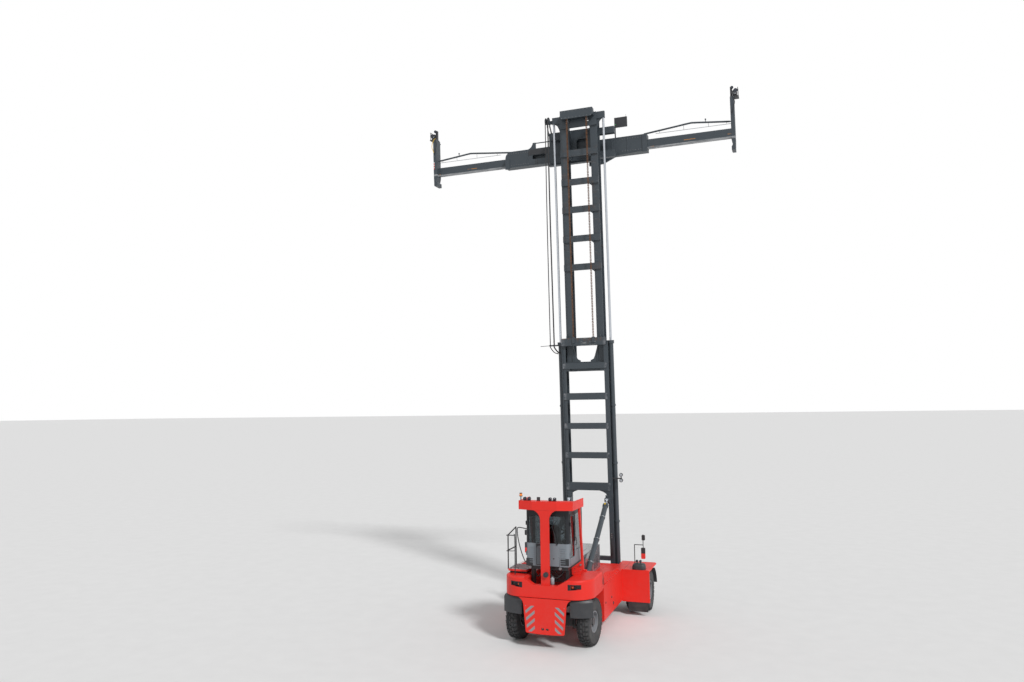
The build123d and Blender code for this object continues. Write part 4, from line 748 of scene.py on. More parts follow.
PULLEY_Y = 0.305
PULLEY_R = 0.1103
CLAMP_Y = 0.245
CLAMP_Z = 9.415
ARC_STEPS = 12
runs = []
tops = []
tails = []
# hoses, columns: top X, clamp X, radius
for top_x, low_x, hose_r in [(-1.22, -1.30, 0.017), (-1.12, -1.15, 0.025)]:
    arc_r = PULLEY_R + hose_r
    middle = (low_x * 0.45 + top_x * 0.55 - 0.012, 0.205, 14.0)
    run = eased([(low_x, CLAMP_Y, CLAMP_Z), middle, (top_x, PULLEY_Y - arc_r, SHEAVE_Z)], 16)
    runs.append(tube(run, hose_r, 12, rubber))
    angles = [math.pi * k / ARC_STEPS for k in range(ARC_STEPS + 1)]
    top = [(top_x, PULLEY_Y - arc_r * math.cos(a), SHEAVE_Z + arc_r * math.sin(a)) for a in angles]
    # the drop behind the pulley, columns: place across, beyond the arc, below the sheave's axle
    for x, y, z in [(0, 0, 0.15), (0.05, 0.03, 0.42)]:
        top.append((top_x + x, PULLEY_Y + arc_r + y, SHEAVE_Z - z))
    tops.append(tube(top, hose_r, 12, rubber))
    # the tail from the clamp, columns: each counted from the clamp
    tail = [(0, 0, 0.03), (0.005, 0.005, -0.10), (0.13, 0.055, -0.28), (0.27, 0.115, -0.34)]
    tail = [(low_x + x, CLAMP_Y + y, CLAMP_Z + z) for x, y, z in tail]
    tails.append(tube(eased(tail), hose_r, 12, rubber))
hoses = mast_group("hose_runs", runs, "inner_mast", "black_rubber", "lift_hoses")
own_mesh(hoses)
mast_group("hose_tops", tops, "inner_mast", "black_rubber")
mast_group("hose_tails", tails, "outer_mast", "black_rubber")


# Lamps: domed lenses in turned bezels on the lamp bodies of the counterweight, roof guard, fenders, mast
# and spreader, an amber beacon and a dark camera eye on the rear post.
def lens_finish(name, colour, glow, rough=0.08):
    material, tree, shader = new_material(name)
    place = object_place(tree)
    ribs = {"Vector": place, "Scale": 26.0, "Distortion": 0.4}
    film = noise(tree, place, 30.0, 6.0)
    fill(tree, shader, {
        "Base Color": mix(tree, spread(tree, film, 0.35, 0.7, 0.0, 0.5), colour, shade(colour, 0.6)),
        "Roughness": spread(tree, film, 0.3, 0.7, rough, rough + 0.15),
        "Emission Color": colour,
        "Emission Strength": glow,
        "Coat Weight": 0.6,
    })
    ribs = add(tree, "ShaderNodeTexWave", ribs, bands_direction="X").outputs["Fac"]
    set_bump(tree, shader, ribs, 0.25, 0.002)
    return material


clear_lens = lens_finish("clear lens", (0.42, 0.45, 0.48, 1), 0.05)
red_lens = lens_finish("red lens", (0.62, 0.02, 0.015, 1), 0.25)
amber_lens = lens_finish("amber lens", (0.85, 0.24, 0.02, 1), 0.25)
dark_lens = lens_finish("dark lens", (0.02, 0.03, 0.05, 1), 0.0, 0.04)
UP = (0, 0, 1)
REAR = (0, -1, 0)


def facing_to(direction):
    return Vector((1, 0, 0)).rotation_difference(Vector(direction)).to_matrix().to_4x4()


def placed(mesh, centre, direction):
    return moved(mesh, Matrix.Translation(centre) @ facing_to(direction))


def lamp_front(centre, direction, radius, finish):
    # columns: place along the axis, share of the lens's radius
    dome = [(-0.002, 0), (-0.002, 1), (0.004, 1), (0.010, 0.86), (0.015, 0.55), (0.017, 0.25), (0.0175, 0)]
    bezel = [(-0.004, 0.98), (-0.004, 1.13), (0.008, 1.13), (0.012, 1.07), (0.009, 0.98)]
    forms = [turned([(x, share * radius) for x, share in dome], 28, finish)]
    forms.append(turned([(x, share * radius) for x, share in bezel], 28, plastic, closed=True))
    return placed(joined(forms), centre, direction)


fronts = [lamp_front((x, -5.19, 4.32), REAR, 0.041, dark_lens) for x in (-0.67, -0.53, 0.13, 0.27)]
fronts += [lamp_front((x, -0.87, 1.62), REAR, 0.041, clear_lens) for x in (-1.93, -2.05, 1.93, 2.05)]
fronts.append(lamp_front((0.03, -5.42, 2.14), REAR, 0.036, dark_lens))
group("lamp_fronts", fronts, "chassis", "lamp_lens")
# tail lamps, columns: place outwards, place to the rear, height, radius, lens
tails = [
    (0.825, -5.326, 1.82, 0.046, red_lens), (0.830, -5.344, 1.815, 0.020, amber_lens),
    (0.935, -5.291, 1.82, 0.022, dark_lens),
]
fronts = []
for x, y, z, radius, front in tails:
    fronts += [lamp_front((side * x, y, z), REAR, radius, front) for side in (-1, 1)]
group("tail_lamp_fronts", fronts, "chassis", "lamp_lens")
dome = [(0, 0), (0, 0.047), (0.006, 0.047), (0.008, 0.0445), (0.056, 0.0435), (0.072, 0.038), (0.084, 0.024),
        (0.089, 0)]
beacon = placed(turned(dome, 28, amber_lens), (-0.8, -5.15, 4.399), UP)
piece("beacon_dome", beacon, "chassis", "lamp_lens")
fronts = [lamp_front((1.21, 0.18, z), REAR, 0.053, clear_lens) for z in (4.43, 4.63)]
mast_group("mast_lamp_fronts", fronts, "outer_mast", "lamp_lens")
for (side, label), x in zip(SIDES, (5.62, -6.54)):
    fronts = [lamp_front((x, 1.52, 18.40), REAR, 0.054, clear_lens)]
    fronts.append(lamp_front((x - side * 0.125, 1.58, 18.60), REAR, 0.022, dark_lens))
    mast_group("arm_lamp_front_" + label, fronts, "spreader_arm_" + label, "lamp_lens")

# Seat: a squab and a back in a woven cloth, crowned, with a seam round the edge and sewn channels. Both
# are padded pieces that stand in the place of the CAD cushions.
THREADS = 260.0
cloth, tree, shader = new_material("seat cloth")
place = object_place(tree)
weave = 1.0
for way in ("X", "Z"):
    threads = add(tree, "ShaderNodeTexWave", {"Vector": place, "Scale": THREADS}, bands_direction=way)
    weave = times(tree, threads.outputs["Fac"], weave)
soil = noise(tree, place, 7.0, 6.0)
tone = mix(tree, spread(tree, soil, 0.3, 0.7), (0.030, 0.032, 0.036, 1), (0.055, 0.056, 0.06, 1))
fill(tree, shader, {
    "Base Color": mix(tree, spread(tree, weave, 0.2, 0.8, 0.0, 0.5), tone, (0.09, 0.092, 0.10, 1)),
    "Roughness": spread(tree, soil, 0.3, 0.7, 0.85, 0.97),
    "Sheen Weight": 0.3,
})
set_bump(tree, shader, weave, 0.35, 0.001)
CUSHION_CUTS = 13
FLAT = 0.80
CROWN = 0.20
SEAM_DROP = 0.42
WAIST = 0.035
PINCH = 0.0135
CORNER = 0.10
CHANNEL_DEPTH = 0.13
CHANNEL_WIDTH = 0.05
SEAM_START = 0.82


def cushion(low, high, thin, channels):
    # thin is the axis across the cushion's thickness; the channels run across the second of the other two
    centre = (Vector(low) + Vector(high)) / 2
    half = (Vector(high) - Vector(low)) / 2
    wide = [axis for axis in range(3) if axis != thin]

    def build(form):
        bmesh.ops.create_cube(form, size=2)
        bmesh.ops.subdivide_edges(form, edges=form.edges, cuts=CUSHION_CUTS, use_grid_fill=True)
        for vert in form.verts:
            v = vert.co.copy()
            a, b = v[wide[0]], v[wide[1]]
            fall = max(0.0, max(abs(a), abs(b)) - SEAM_START) / (1 - SEAM_START)
            v[thin] *= FLAT + CROWN * (1 - a * a) * (1 - b * b) - SEAM_DROP * fall ** 2
            pull = PINCH * (1 - abs(v[thin]))
            v[wide[0]] = a * (1 - WAIST * (1 - b * b) + pull)
            v[wide[1]] = b * (1 - WAIST * (1 - a * a) + pull)
            for channel in channels:
                sewn = math.exp(-((b - channel) / CHANNEL_WIDTH) ** 2) * (1 - max(abs(a), 0.8) ** 6)
                v[thin] -= math.copysign(CHANNEL_DEPTH, v[thin]) * sewn
            corner = 1 - CORNER * (abs(a) * abs(b)) ** 5
            v[wide[0]] *= corner
            v[wide[1]] *= corner
            v /= max(1, *(abs(c) for c in v))
            vert.co = centre + v * half
    form = show("cushion", fresh(build))
    form.modifiers.new("round", "SUBSURF").levels = 1
    smooth = applied(form)
    smooth.shade_smooth()
    return painted(smooth, cloth)


squab = cushion((-0.25, -4.56, 2.64), (0.25, -4.08, 2.80), 2, (-0.35, 0.1, 0.5))
squab = piece("seat_squab", squab, "chassis", "seat_cloth", "seat_cushions")
back = cushion((-0.24, -4.68, 2.71), (0.24, -4.5603, 3.50), 1, (-0.5, -0.15, 0.2, 0.6))
back = piece("seat_back", back, "chassis", "seat_cloth")


# Bracket: a red steel plate with round holes beside the cab, cut from one outline. The pin at its upper
# corner is bare steel and stands at the largest hole.
PLATE_BEVEL = 0.0015
WELD = 0.00005


def plate(outline, thickness, material, holes=()):
    # the outline lies in X and Y; columns of a hole: X, Y, radius
    curve = bpy.data.curves.new("plate", "CURVE")
    curve.dimensions = "2D"
    curve.fill_mode = "BOTH"
    curve.extrude = thickness / 2
    curve.bevel_depth = PLATE_BEVEL
    curve.bevel_resolution = 1
    rounds = [[(x + r * c, y + r * s) for c, s in circle(16)] for x, y, r in holes]
    for loop in [outline] + rounds:
        spline = curve.splines.new("POLY")
        spline.points.add(len(loop) - 1)
        for point, (x, y) in zip(spline.points, loop):
            point.co = (x, y, 0, 1)
        spline.use_cyclic_u = True
    mesh = applied(show("plate", curve))
    form = bmesh.new()
    form.from_mesh(mesh)
    bmesh.ops.remove_doubles(form, verts=form.verts, dist=WELD)
    bmesh.ops.recalc_face_normals(form, faces=form.faces)
    form.to_mesh(mesh)
    form.free()
    return painted(mesh, material)


facing_rear = Matrix(((1, 0, 0, 0), (0, 0, -1, 0), (0, 1, 0, 0), (0, 0, 0, 1)))
facing_side = Matrix(((0, 0, 1, 0), (1, 0, 0, 0), (0, 1, 0, 0), (0, 0, 0, 1)))


def rear_sheet(y, outline, thickness, material, holes=()):
    # a plate that faces the rear, with its middle at y; its outline is in X and Z
    return moved(plate(outline, thickness, material, holes), at(0, y, 0) @ facing_rear)


BRACKET_Y = -4.62
outline = [
    (0.62, 2.021), (0.90, 2.021), (0.96, 2.20), (0.97, 2.44), (0.93, 2.46), (0.64, 2.25), (0.61, 2.22),
]
holes = [
    (0.70, 2.10, 0.017), (0.70, 2.20, 0.017), (0.80, 2.13, 0.017), (0.80, 2.26, 0.017),
    (0.89, 2.19, 0.017), (0.90, 2.34, 0.022),
]
lug = turned(button(-0.05, 0.03, 0.05, 0.052, 0.02), 20, bare_steel)
forms = [rear_sheet(BRACKET_Y, outline, 0.016, red_paint, holes), placed(lug, (0.90, BRACKET_Y, 2.34), REAR)]
group("bracket_plates", forms, "chassis", "red_paint")


# Access on the left: the tray in red with a pale walking surface, on black rails and ladder. Fender
# mirrors: black above, red on the part that hangs outside.
def access_colour(tree):
    height = axes(tree)["Z"]
    normal = add(tree, "ShaderNodeNewGeometry").outputs["Normal"]
    on_top = times(tree, more(tree, axes(tree, normal)["Z"], 0.7), between(tree, height, 2.14, 2.16))
    base = mix(tree, between(tree, height, 2.085, 2.155), (0.022, 0.022, 0.025, 1), RED)
    return mix(tree, on_top, base, (0.33, 0.34, 0.36, 1))


def mirror_colour(tree):
    parts = axes(tree)
    outside = more(tree, maths(tree, "ABSOLUTE", parts["X"]), 2.02)
    hanging = times(tree, between(tree, parts["Z"], 1.88, 2.07), outside)
    return mix(tree, hanging, (0.030, 0.031, 0.034, 1), RED)


access_paint = coated("access paint", access_colour, 0.4, 0.30, 0.4, (0.2, 0.15, 0.14, 1))
finish(access_paint, "access_platform")
mirror_paint = coated("mirror and lamp housings", mirror_colour, 0.38, 0.15, 0.15, (0.1, 0.1, 0.1, 1))
finish(mirror_paint, "fender_lamps_and_mirrors")

# Cab trim: a rear wiper with its rubber blade, and two ribbed mounts under the cab. The black grips ride
# with their doors, and round latches hold the hood.
WIPER_HUB = (0.30, -5.101, 2.985)
arm = eased([(0.30, -5.112, 2.985), (0.26, -5.125, 3.20), (0.16, -5.125, 3.52)], 6)
trim = [tube(arm, 0.008, 8, plastic)]
trim.append(tube([(0.02, -5.118, 3.36), (0.30, -5.118, 3.67)], 0.009, 8, rubber))
hub = turned([(0, 0), (0, 0.03), (0.02, 0.026), (0.024, 0)], 16, plastic)
trim.append(placed(hub, WIPER_HUB, REAR))
pad = [(-0.03, 0), (-0.03, 0.045), (-0.012, 0.05), (0, 0.038), (0.012, 0.05), (0.03, 0.045), (0.03, 0)]
pad = turned(pad, 20, bare_steel)
trim += [placed(pad, (x, -5.06, 2.275), REAR) for x in (-0.56, 0.387)]
group("cab_trim", trim, "chassis", "black_plastic")
GRIP_Y = -4.415
for side, label in SIDES:
    # columns: place outwards, height
    grip = [(0.678, 2.88), (0.722, 2.91), (0.722, 3.08), (0.678, 3.11)]
    grip = eased([(side * x, GRIP_Y, z) for x, z in grip], 6)
    handle = tube(grip, 0.011, 10, plastic)
    group("door_handle_" + label, [handle], "cab_door_" + label, "black_plastic")
latch = turned(button(-0.002, 0.028, 0.010, 0.016, 0.02), 20, plastic)
latches = [placed(latch, (side * 0.561, y, 2.2), (side, 0, 0)) for side in (-1, 1) for y in (-1.6, -2.9)]
group("hood_latches", latches, "chassis", "black_plastic")


# Lamps on the fenders: a rounded black plastic base over the lower pair, and on top of it a pair of
# small lamps with dark lenses, each on a stem.
def rounded_base(centre, half):
    def build(form):
        bmesh.ops.create_cube(form, size=2)
        bmesh.ops.subdivide_edges(form, edges=form.edges, cuts=9, use_grid_fill=True)
        for vert in form.verts:
            v = vert.co.copy()
            v.z = v.z / 2 + 0.5
            v /= (v.x ** 4 + v.y ** 4 + v.z ** 4) ** 0.25 or 1
            vert.co = Vector(centre) + v * Vector(half)
    mesh = fresh(build)
    mesh.shade_smooth()
    return painted(mesh, plastic)


def lamp_head(centre, direction, radius):
    # columns: place along the axis, share of the radius
    shell = [(-0.062, 0), (-0.058, 0.55), (-0.04, 0.9), (-0.012, 1), (0, 1), (0, 0)]
    shell = turned([(x, share * radius) for x, share in shell], 24, plastic)
    front = lamp_front(centre, direction, radius * 0.88, dark_lens)
    return joined([placed(shell, centre, direction), front])


lamps = []
for side in (-1, 1):
    lamps.append(rounded_base((side * 1.925, -0.735, 1.5205), (0.225, 0.175, 0.205)))
    for x in (1.875, 1.994):
        lamps.append(lamp_head((side * x, -0.83, 1.80), REAR, 0.046))
        lamps.append(tube([(side * x, -0.80, 1.70), (side * x, -0.80, 1.762)], 0.012, 12, plastic))
group("fender_lamp_heads", lamps, "chassis", "black_plastic")

# Deck edge: a low red steel bracket with round holes along the deck's right edge, lower towards the
# front. A row of bolts holds it.
DECK_Z = 1.5205
edge = [
    (-3.38, DECK_Z), (-1.02, DECK_Z), (-1.02, 1.58), (-1.30, 1.62), (-2.10, 1.70), (-3.10, 1.86),
    (-3.38, 1.84),
]
holes = [
    (-3.2, 1.76, 0.03), (-2.95, 1.70, 0.022), (-2.6, 1.69, 0.022), (-2.2, 1.64, 0.022), (-1.8, 1.62, 0.018),
    (-1.4, 1.585, 0.014), (-3.2, 1.62, 0.018), (-2.8, 1.60, 0.018), (-2.4, 1.58, 0.014),
]
strip = moved(plate(edge, 0.012, red_paint, holes), at(1.305, 0, 0) @ facing_side)
bolts = repeated(bolt_head, 8, (1.312, -3.30, 1.548), (0, 0.30, 0))
group("deck_bracket", [strip, bolts], "chassis", "red_paint")

# Small fittings of the chassis: bolts in the rear plate and along the deck and the fenders, round covers
# on the tanks, the stop on the left and the tray's handle.
PLATE_BOLTS = [(-0.545, 1.18), (0.545, 1.18), (-0.53, 0.72), (0.53, 0.72), (-0.043, 1.343)]
small = [placed(bolt_head, (x, -5.4485, z), REAR) for x, z in PLATE_BOLTS]
upward_bolt = moved(bolt_head, facing_to(UP))
cover = [
    (-0.002, 0), (-0.002, 0.045), (0.010, 0.045), (0.014, 0.040), (0.014, 0.018), (0.022, 0.016),
    (0.022, 0),
]
cover = turned(cover, 24, plastic)
for side in (-1, 1):
    small.append(repeated(upward_bolt, 6, (side * 1.42, -0.80, 1.522), (0, 0.20, 0)))
    small.append(repeated(upward_bolt, 9, (side * 0.72, -3.30, 1.522), (0, 0.34, 0)))
for side in (-1, 1):
    for y, z, size in [(-2.321, 0.723, 1.0), (-2.544, 0.958, 0.8), (-3.38, 0.97, 0.7)]:
        small.append(placed(moved(cover, Matrix.Scale(size, 4)), (side * 1.3505, y, z), (side, 0, 0)))
stop = [(0, 0), (0, 0.028), (0.03, 0.030), (0.036, 0.024), (0.036, 0)]
small.append(placed(turned(stop, 20, plastic), (-1.381, -4.35, 1.80), (-1, 0, 0)))
grip = eased([(-1.25, -4.86, 2.15), (-1.24, -4.86, 2.19), (-1.02, -4.86, 2.19), (-1.01, -4.86, 2.15)], 6)
small.append(tube(grip, 0.010, 10, plastic))
group("chassis_fittings", small, "chassis", "bare_steel")

# Cab rear: black louvred corners, a dark air gap with slats behind the post, and a service hatch. The
# hatch is painted as the cab is, stands on a black rim and has a round latch.
REAR_FACE = -5.1005
SLAT_TILT = math.radians(35)
VENT_STEP = 0.0225
unit_block = painted(fresh(lambda form: bmesh.ops.create_cube(form, size=1)), plastic)


def block(x, y, z, turn=Matrix()):
    return moved(unit_block, turn @ Matrix.Diagonal((x, y, z, 1)))


def oblong(x0, z0, x1, z1):
    return [(x0, z0), (x1, z0), (x1, z1), (x0, z1)]


slat_turn = Matrix.Rotation(SLAT_TILT, 4, "X")
rear = []
for x0, x1, z0, count in [(-0.655, -0.470, 2.345, 9), (0.42, 0.655, 2.395, 8)]:
    plan = oblong(x0 - 0.012, z0 - 0.02, x1 + 0.012, z0 + count * VENT_STEP)
    rear.append(rear_sheet(REAR_FACE - 0.0015, plan, 0.003, plastic))
    slat = block(x1 - x0, 0.014, 0.003, slat_turn)
    rear.append(repeated(slat, count, ((x0 + x1) / 2, REAR_FACE - 0.007, z0), (0, 0, VENT_STEP)))
rear.append(rear_sheet(REAR_FACE - 0.0015, oblong(-0.356, 2.36, -0.210, 2.985), 0.003, plastic))
slat = block(0.132, 0.016, 0.003, slat_turn)
rear.append(repeated(slat, 20, (-0.283, REAR_FACE - 0.008, 2.385), (0, 0, 0.0305)))
HATCH_RIM = 0.006
hatch = [
    (0.036, 2.34), (0.370, 2.34), (0.362, 2.56), (0.345, 2.60), (0.310, 2.615), (0.090, 2.615),
    (0.055, 2.60), (0.040, 2.56),
]
rim = [(x + math.copysign(HATCH_RIM, x - 0.2), z + math.copysign(HATCH_RIM, z - 2.5)) for x, z in hatch]
rear.append(rear_sheet(REAR_FACE - 0.001, rim, 0.002, plastic))
rear.append(rear_sheet(REAR_FACE - 0.004, hatch, 0.006, cab_finish))
rear.append(placed(moved(latch, Matrix.Scale(0.7, 4)), (0.20, REAR_FACE - 0.008, 2.565), REAR))
group("cab_rear_panels", rear, "chassis", "black_plastic")

# Tilt cylinders: silver clamps round the barrels with their bolts, a yellow mark, and pipes along the
# barrels from clamp to clamp.
TILT_LOW = Vector((0, -3.300, 1.620))
TILT_HIGH = Vector((0, -0.060, 3.740))
TILT_X = 0.7
CLAMP_REACHES = (0.73, 1.83, 2.93)
MARK_REACH = 3.555
# columns: reach along the barrel, place above its axis
BARREL_PIPE = [(0.40, 0.085), (0.55, 0.112), (3.35, 0.112), (3.48, 0.098)]
tilt_way = (TILT_HIGH - TILT_LOW).normalized()
above = Vector((0, -tilt_way.z, tilt_way.y))
SILVER = (0.45, 0.46, 0.48, 1)
silver = coated("silver clamps", SILVER, 0.32, 0.1, 0.4, (0.6, 0.6, 0.62, 1), {"Metallic": 0.7})
yellow = coated("yellow marks", (0.75, 0.48, 0.03, 1), 0.4, 0.1, 0.4, (0.5, 0.35, 0.1, 1))
band = [
    (-0.012, 0.0965), (-0.012, 0.099), (-0.010, 0.1005), (0.010, 0.1005), (0.012, 0.099),
    (0.012, 0.0965),
]
band = turned(band, 40, silver, closed=True)
mark = moved(plate(oblong(-0.04, -0.02, 0.04, 0.02), 0.003, yellow), at(0, 0, 0.1045))
tag = Matrix((tilt_way, above.cross(tilt_way), above)).transposed().to_4x4()
clamp_bolt = moved(bolt_head, at(0.0995, 0, 0))


def on_barrel(side, reach, out=0.0):
    return TILT_LOW + tilt_way * reach + Vector((side * TILT_X, 0, 0)) + above * out


for side, label in SIDES:
    forms = []
    for reach in CLAMP_REACHES:
        forms.append(placed(band, on_barrel(side, reach), tilt_way))
        forms.append(placed(clamp_bolt, on_barrel(side, reach), (side, 0, 0)))
    forms.append(moved(mark, Matrix.Translation(on_barrel(side, MARK_REACH)) @ tag))
    forms.append(tube([on_barrel(side, *spot) for spot in BARREL_PIPE], 0.009, 10, grey_steel))
    group("tilt_clamps_" + label, forms, "tilt_barrel_" + label, "silver_paint")

# Arm pipes: the thick pipe along each arm with easy bends, the thin line that hangs below it on its ties,
# and the knob on it. All of it clears the box when the arms slide in.
ARM_SHIFT = -0.46
ARM_PIPE_Y = {1: 1.65, -1: 1.72}
KNOB_X = 5.0
KNOB_Z = 17.495
LINE_Z = 17.322
# columns: place outwards, height
BENDS = [(2.715, 17.365), (2.80, 17.372), (3.70, 17.466), (4.38, 17.540), (4.58, 17.540), (5.20, 17.474),
         (5.86, 17.405)]
TIES = [(3.3, 17.424), (4.2, 17.520), (5.1, 17.485), (5.75, 17.417)]
knob = [(0, 0), (0, 0.013), (0.085, 0.013), (0.09, 0.028), (0.13, 0.028), (0.14, 0.018), (0.14, 0)]
knob = turned(knob, 20, grey_steel)


def beside_arm(side, *places):
    return [(side * x + ARM_SHIFT, ARM_PIPE_Y[side], z) for x, z in places]


for side, label in SIDES:
    forms = [tube(eased(beside_arm(side, *BENDS), 5), 0.033, 20, grey_steel)]
    forms.append(tube(beside_arm(side, (3.15, LINE_Z), (5.93, LINE_Z)), 0.010, 10, silver))
    for x, z in TIES:
        forms.append(tube(beside_arm(side, (x, LINE_Z - 0.004), (x, z)), 0.006, 8, grey_steel))
    forms.append(placed(knob, beside_arm(side, (KNOB_X, KNOB_Z))[0], UP))
    mast_group("arm_pipes_" + label, forms, "spreader_arm_" + label, "dark_grey_paint")


# Arm paint: the same dark grey, with a lower rail that the sliding pads have rubbed pale in long
# streaks, and orange marks near the middle and the end.
def upright_place(tree):
    # the place with the mast's lean taken out
    lean_back = {"Vector": object_place(tree), "Center": (0, 0, 1), "Angle": -LEAN}
    return add(tree, "ShaderNodeVectorRotate", lean_back, rotation_type="X_AXIS").outputs[0]


# marks, columns: left, right, bottom, top
ORANGE_MARKS = [
    (-5.07, -4.64, 16.868, 16.892), (-6.37, -6.28, 16.79, 16.82), (3.75, 4.17, 16.868, 16.892),
    (2.52, 2.64, 16.77, 16.81), (5.32, 5.46, 16.87, 16.90),
]


def arm_colour(tree):
    plumb = upright_place(tree)
    parts = axes(tree, plumb)
    streaks = noise(tree, stretched(tree, plumb, (0.6, 1.0, 14.0)), 3.0, 8.0, 0.7)
    rubbed = spread(tree, streaks, 0.36, 0.56)
    rubbed = times(tree, rubbed, between(tree, parts["Z"], 16.715, 16.79))
    marked = 0.0
    for x0, x1, z0, z1 in ORANGE_MARKS:
        spot = times(tree, between(tree, parts["X"], x0, x1), between(tree, parts["Z"], z0, z1))
        marked = maths(tree, "MAXIMUM", marked, spot)
    patchy = times(tree, marked, spread(tree, noise(tree, plumb, 5.0, 6.0), 0.42, 0.52, 0.15, 0.8))
    return mix(tree, patchy, mix(tree, rubbed, DARK_GREY, (0.36, 0.37, 0.38, 1)), (0.55, 0.24, 0.05, 1))


finish(coated("spreader arm paint", arm_colour, *GREY_COAT), "spreader_arm_right", "spreader_arm_left")


# Spreader box: a dark rounded sheet and two thin dark strips left of the middle, which are painted shadow:
# the mast header's shadow and the hoses' shadows on the box. Also hoses over the box, bolts along its ends,
# and the small dot and aerial of the reader board.
def reflector_colour(tree):
    stripe = less(tree, maths(tree, "FLOORED_MODULO", axes(tree)["Z"], 0.10), 0.05)
    return mix(tree, stripe, (0.62, 0.03, 0.02, 1), (0.72, 0.72, 0.70, 1))


reflector = coated("reflecting strips", reflector_colour, 0.3, 0.1, 0.2, (0.4, 0.3, 0.3, 1))
BOX_REAR = 1.4195
# a black sheet that stands for the mast header's shadow on the box: painted shadow
header_shadow_plan = [
    (-2.32, 17.06), (-1.54, 17.06), (-1.54, 17.22), (-1.60, 17.275), (-2.24, 17.275), (-2.32, 17.20),
]
fittings = [rear_sheet(BOX_REAR - 0.005, header_shadow_plan, 0.010, plastic)]
# two thin black strips that stand for the hoses' shadows on the box: painted shadow
for x in (-2.05, -1.975):
    fittings.append(rear_sheet(BOX_REAR - 0.002, oblong(x, 16.66, x + 0.026, 16.86), 0.004, plastic))
for x0, x1, out in [(-1.1, 0.35, 0.0), (-0.9, 0.55, 0.035)]:
    hose = [
        (x0, 1.50 + out, 17.302), (x0 + 0.05, 1.50 + out, 17.36), (x0 + 0.4, 1.52 + out, 17.40),
        (x1 - 0.4, 1.52 + out, 17.39), (x1 - 0.05, 1.50 + out, 17.36), (x1, 1.50 + out, 17.302),
    ]
    fittings.append(tube(eased(hose), 0.013, 10, rubber))
rear_bolt = moved(bolt_head, facing_to(REAR))
for z in (16.74, 17.20):
    fittings += [repeated(rear_bolt, 9, (x, BOX_REAR, z), (0.10, 0, 0)) for x in (-3.15, 1.45)]
green_lens = lens_finish("green lens", (0.05, 0.55, 0.12, 1), 0.3)
dot = turned([(0, 0), (0, 0.014), (0.008, 0.012), (0.010, 0)], 16, green_lens)
fittings.append(placed(dot, (1.19, 1.4985, 17.83), REAR))
fittings.append(tube([(1.60, 1.53, 18.10), (1.60, 1.53, 18.19)], 0.005, 8, plastic))
mast_group("spreader_fittings", fittings, "spreader", "black_plastic")

# End frames: a cable and two lamp heads on each. The left one has a reflecting strip and a yellow hose
# too, and on the right one the heads stand on stems.
FRAME_X = {"right": 5.458, "left": -6.502}
end_forms = {}
for label, x in FRAME_X.items():
    cable = [(0.04, 1.43, 17.62), (0.10, 1.40, 17.80), (0.16, 1.42, 18.05), (0.06, 1.45, 18.28)]
    end_forms[label] = [tube(eased([(x + out, y, z) for out, y, z in cable]), 0.009, 8, rubber)]
x = FRAME_X["left"]
hose = [(0.02, 1.43, 17.70), (-0.05, 1.40, 17.95), (0.02, 1.43, 18.22), (0.09, 1.47, 18.30)]
hose = [(x + out, y, z) for out, y, z in hose]
end_forms["left"] += [
    rear_sheet(1.4380, oblong(x, 17.0, x + 0.035, 17.3), 0.003, reflector),
    lamp_head((-6.575, 1.47, 18.42), (-0.2, -0.9, -0.35), 0.078),
    lamp_head((-6.42, 1.49, 18.60), (0.1, -0.9, -0.3), 0.058),
    tube(eased(hose), 0.012, 10, yellow),
]
end_forms["right"] += [
    lamp_head((5.655, 1.47, 18.47), (0.25, -0.9, -0.3), 0.076),
    lamp_head((5.53, 1.49, 18.60), (-0.1, -0.9, -0.3), 0.056),
    tube([(5.57, 1.48, 18.30), (5.64, 1.49, 18.45)], 0.012, 8, plastic),
    tube([(5.53, 1.49, 18.36), (5.53, 1.50, 18.59)], 0.012, 8, plastic),
]
for label, forms in end_forms.items():
    mast_group("arm_end_fittings_" + label, forms, "spreader_arm_" + label, "silver_paint")


# Mast paint: dark grey. The outer mast has rust smudges and bright scratches on its head beam, and the
# inner one has fainter rust and pale rub marks along its rails.
def mast_colour(low_z, high_z, rust_share):
    def colour(tree):
        plumb = upright_place(tree)
        band_here = between(tree, axes(tree, plumb)["Z"], low_z, high_z)
        smudge = noise(tree, plumb, 4.0, 8.0, 0.7)
        streaks = noise(tree, stretched(tree, plumb, (1.0, 1.0, 16.0)), 2.4, 9.0, 0.75)
        rusty = times(tree, spread(tree, smudge, 0.52, 0.64, 0.0, 0.75), band_here, rust_share)
        bright = times(tree, spread(tree, streaks, 0.60, 0.66, 0.0, 0.6), band_here)
        return mix(tree, bright, mix(tree, rusty, DARK_GREY, (0.13, 0.065, 0.035, 1)), (0.30, 0.31, 0.33, 1))
    return colour


finish(coated("outer mast paint", mast_colour(9.34, 9.66, 1.0), *GREY_COAT), "outer_mast")
finish(coated("inner mast paint", mast_colour(12.1, 16.8, 0.3), *GREY_COAT), "inner_mast")


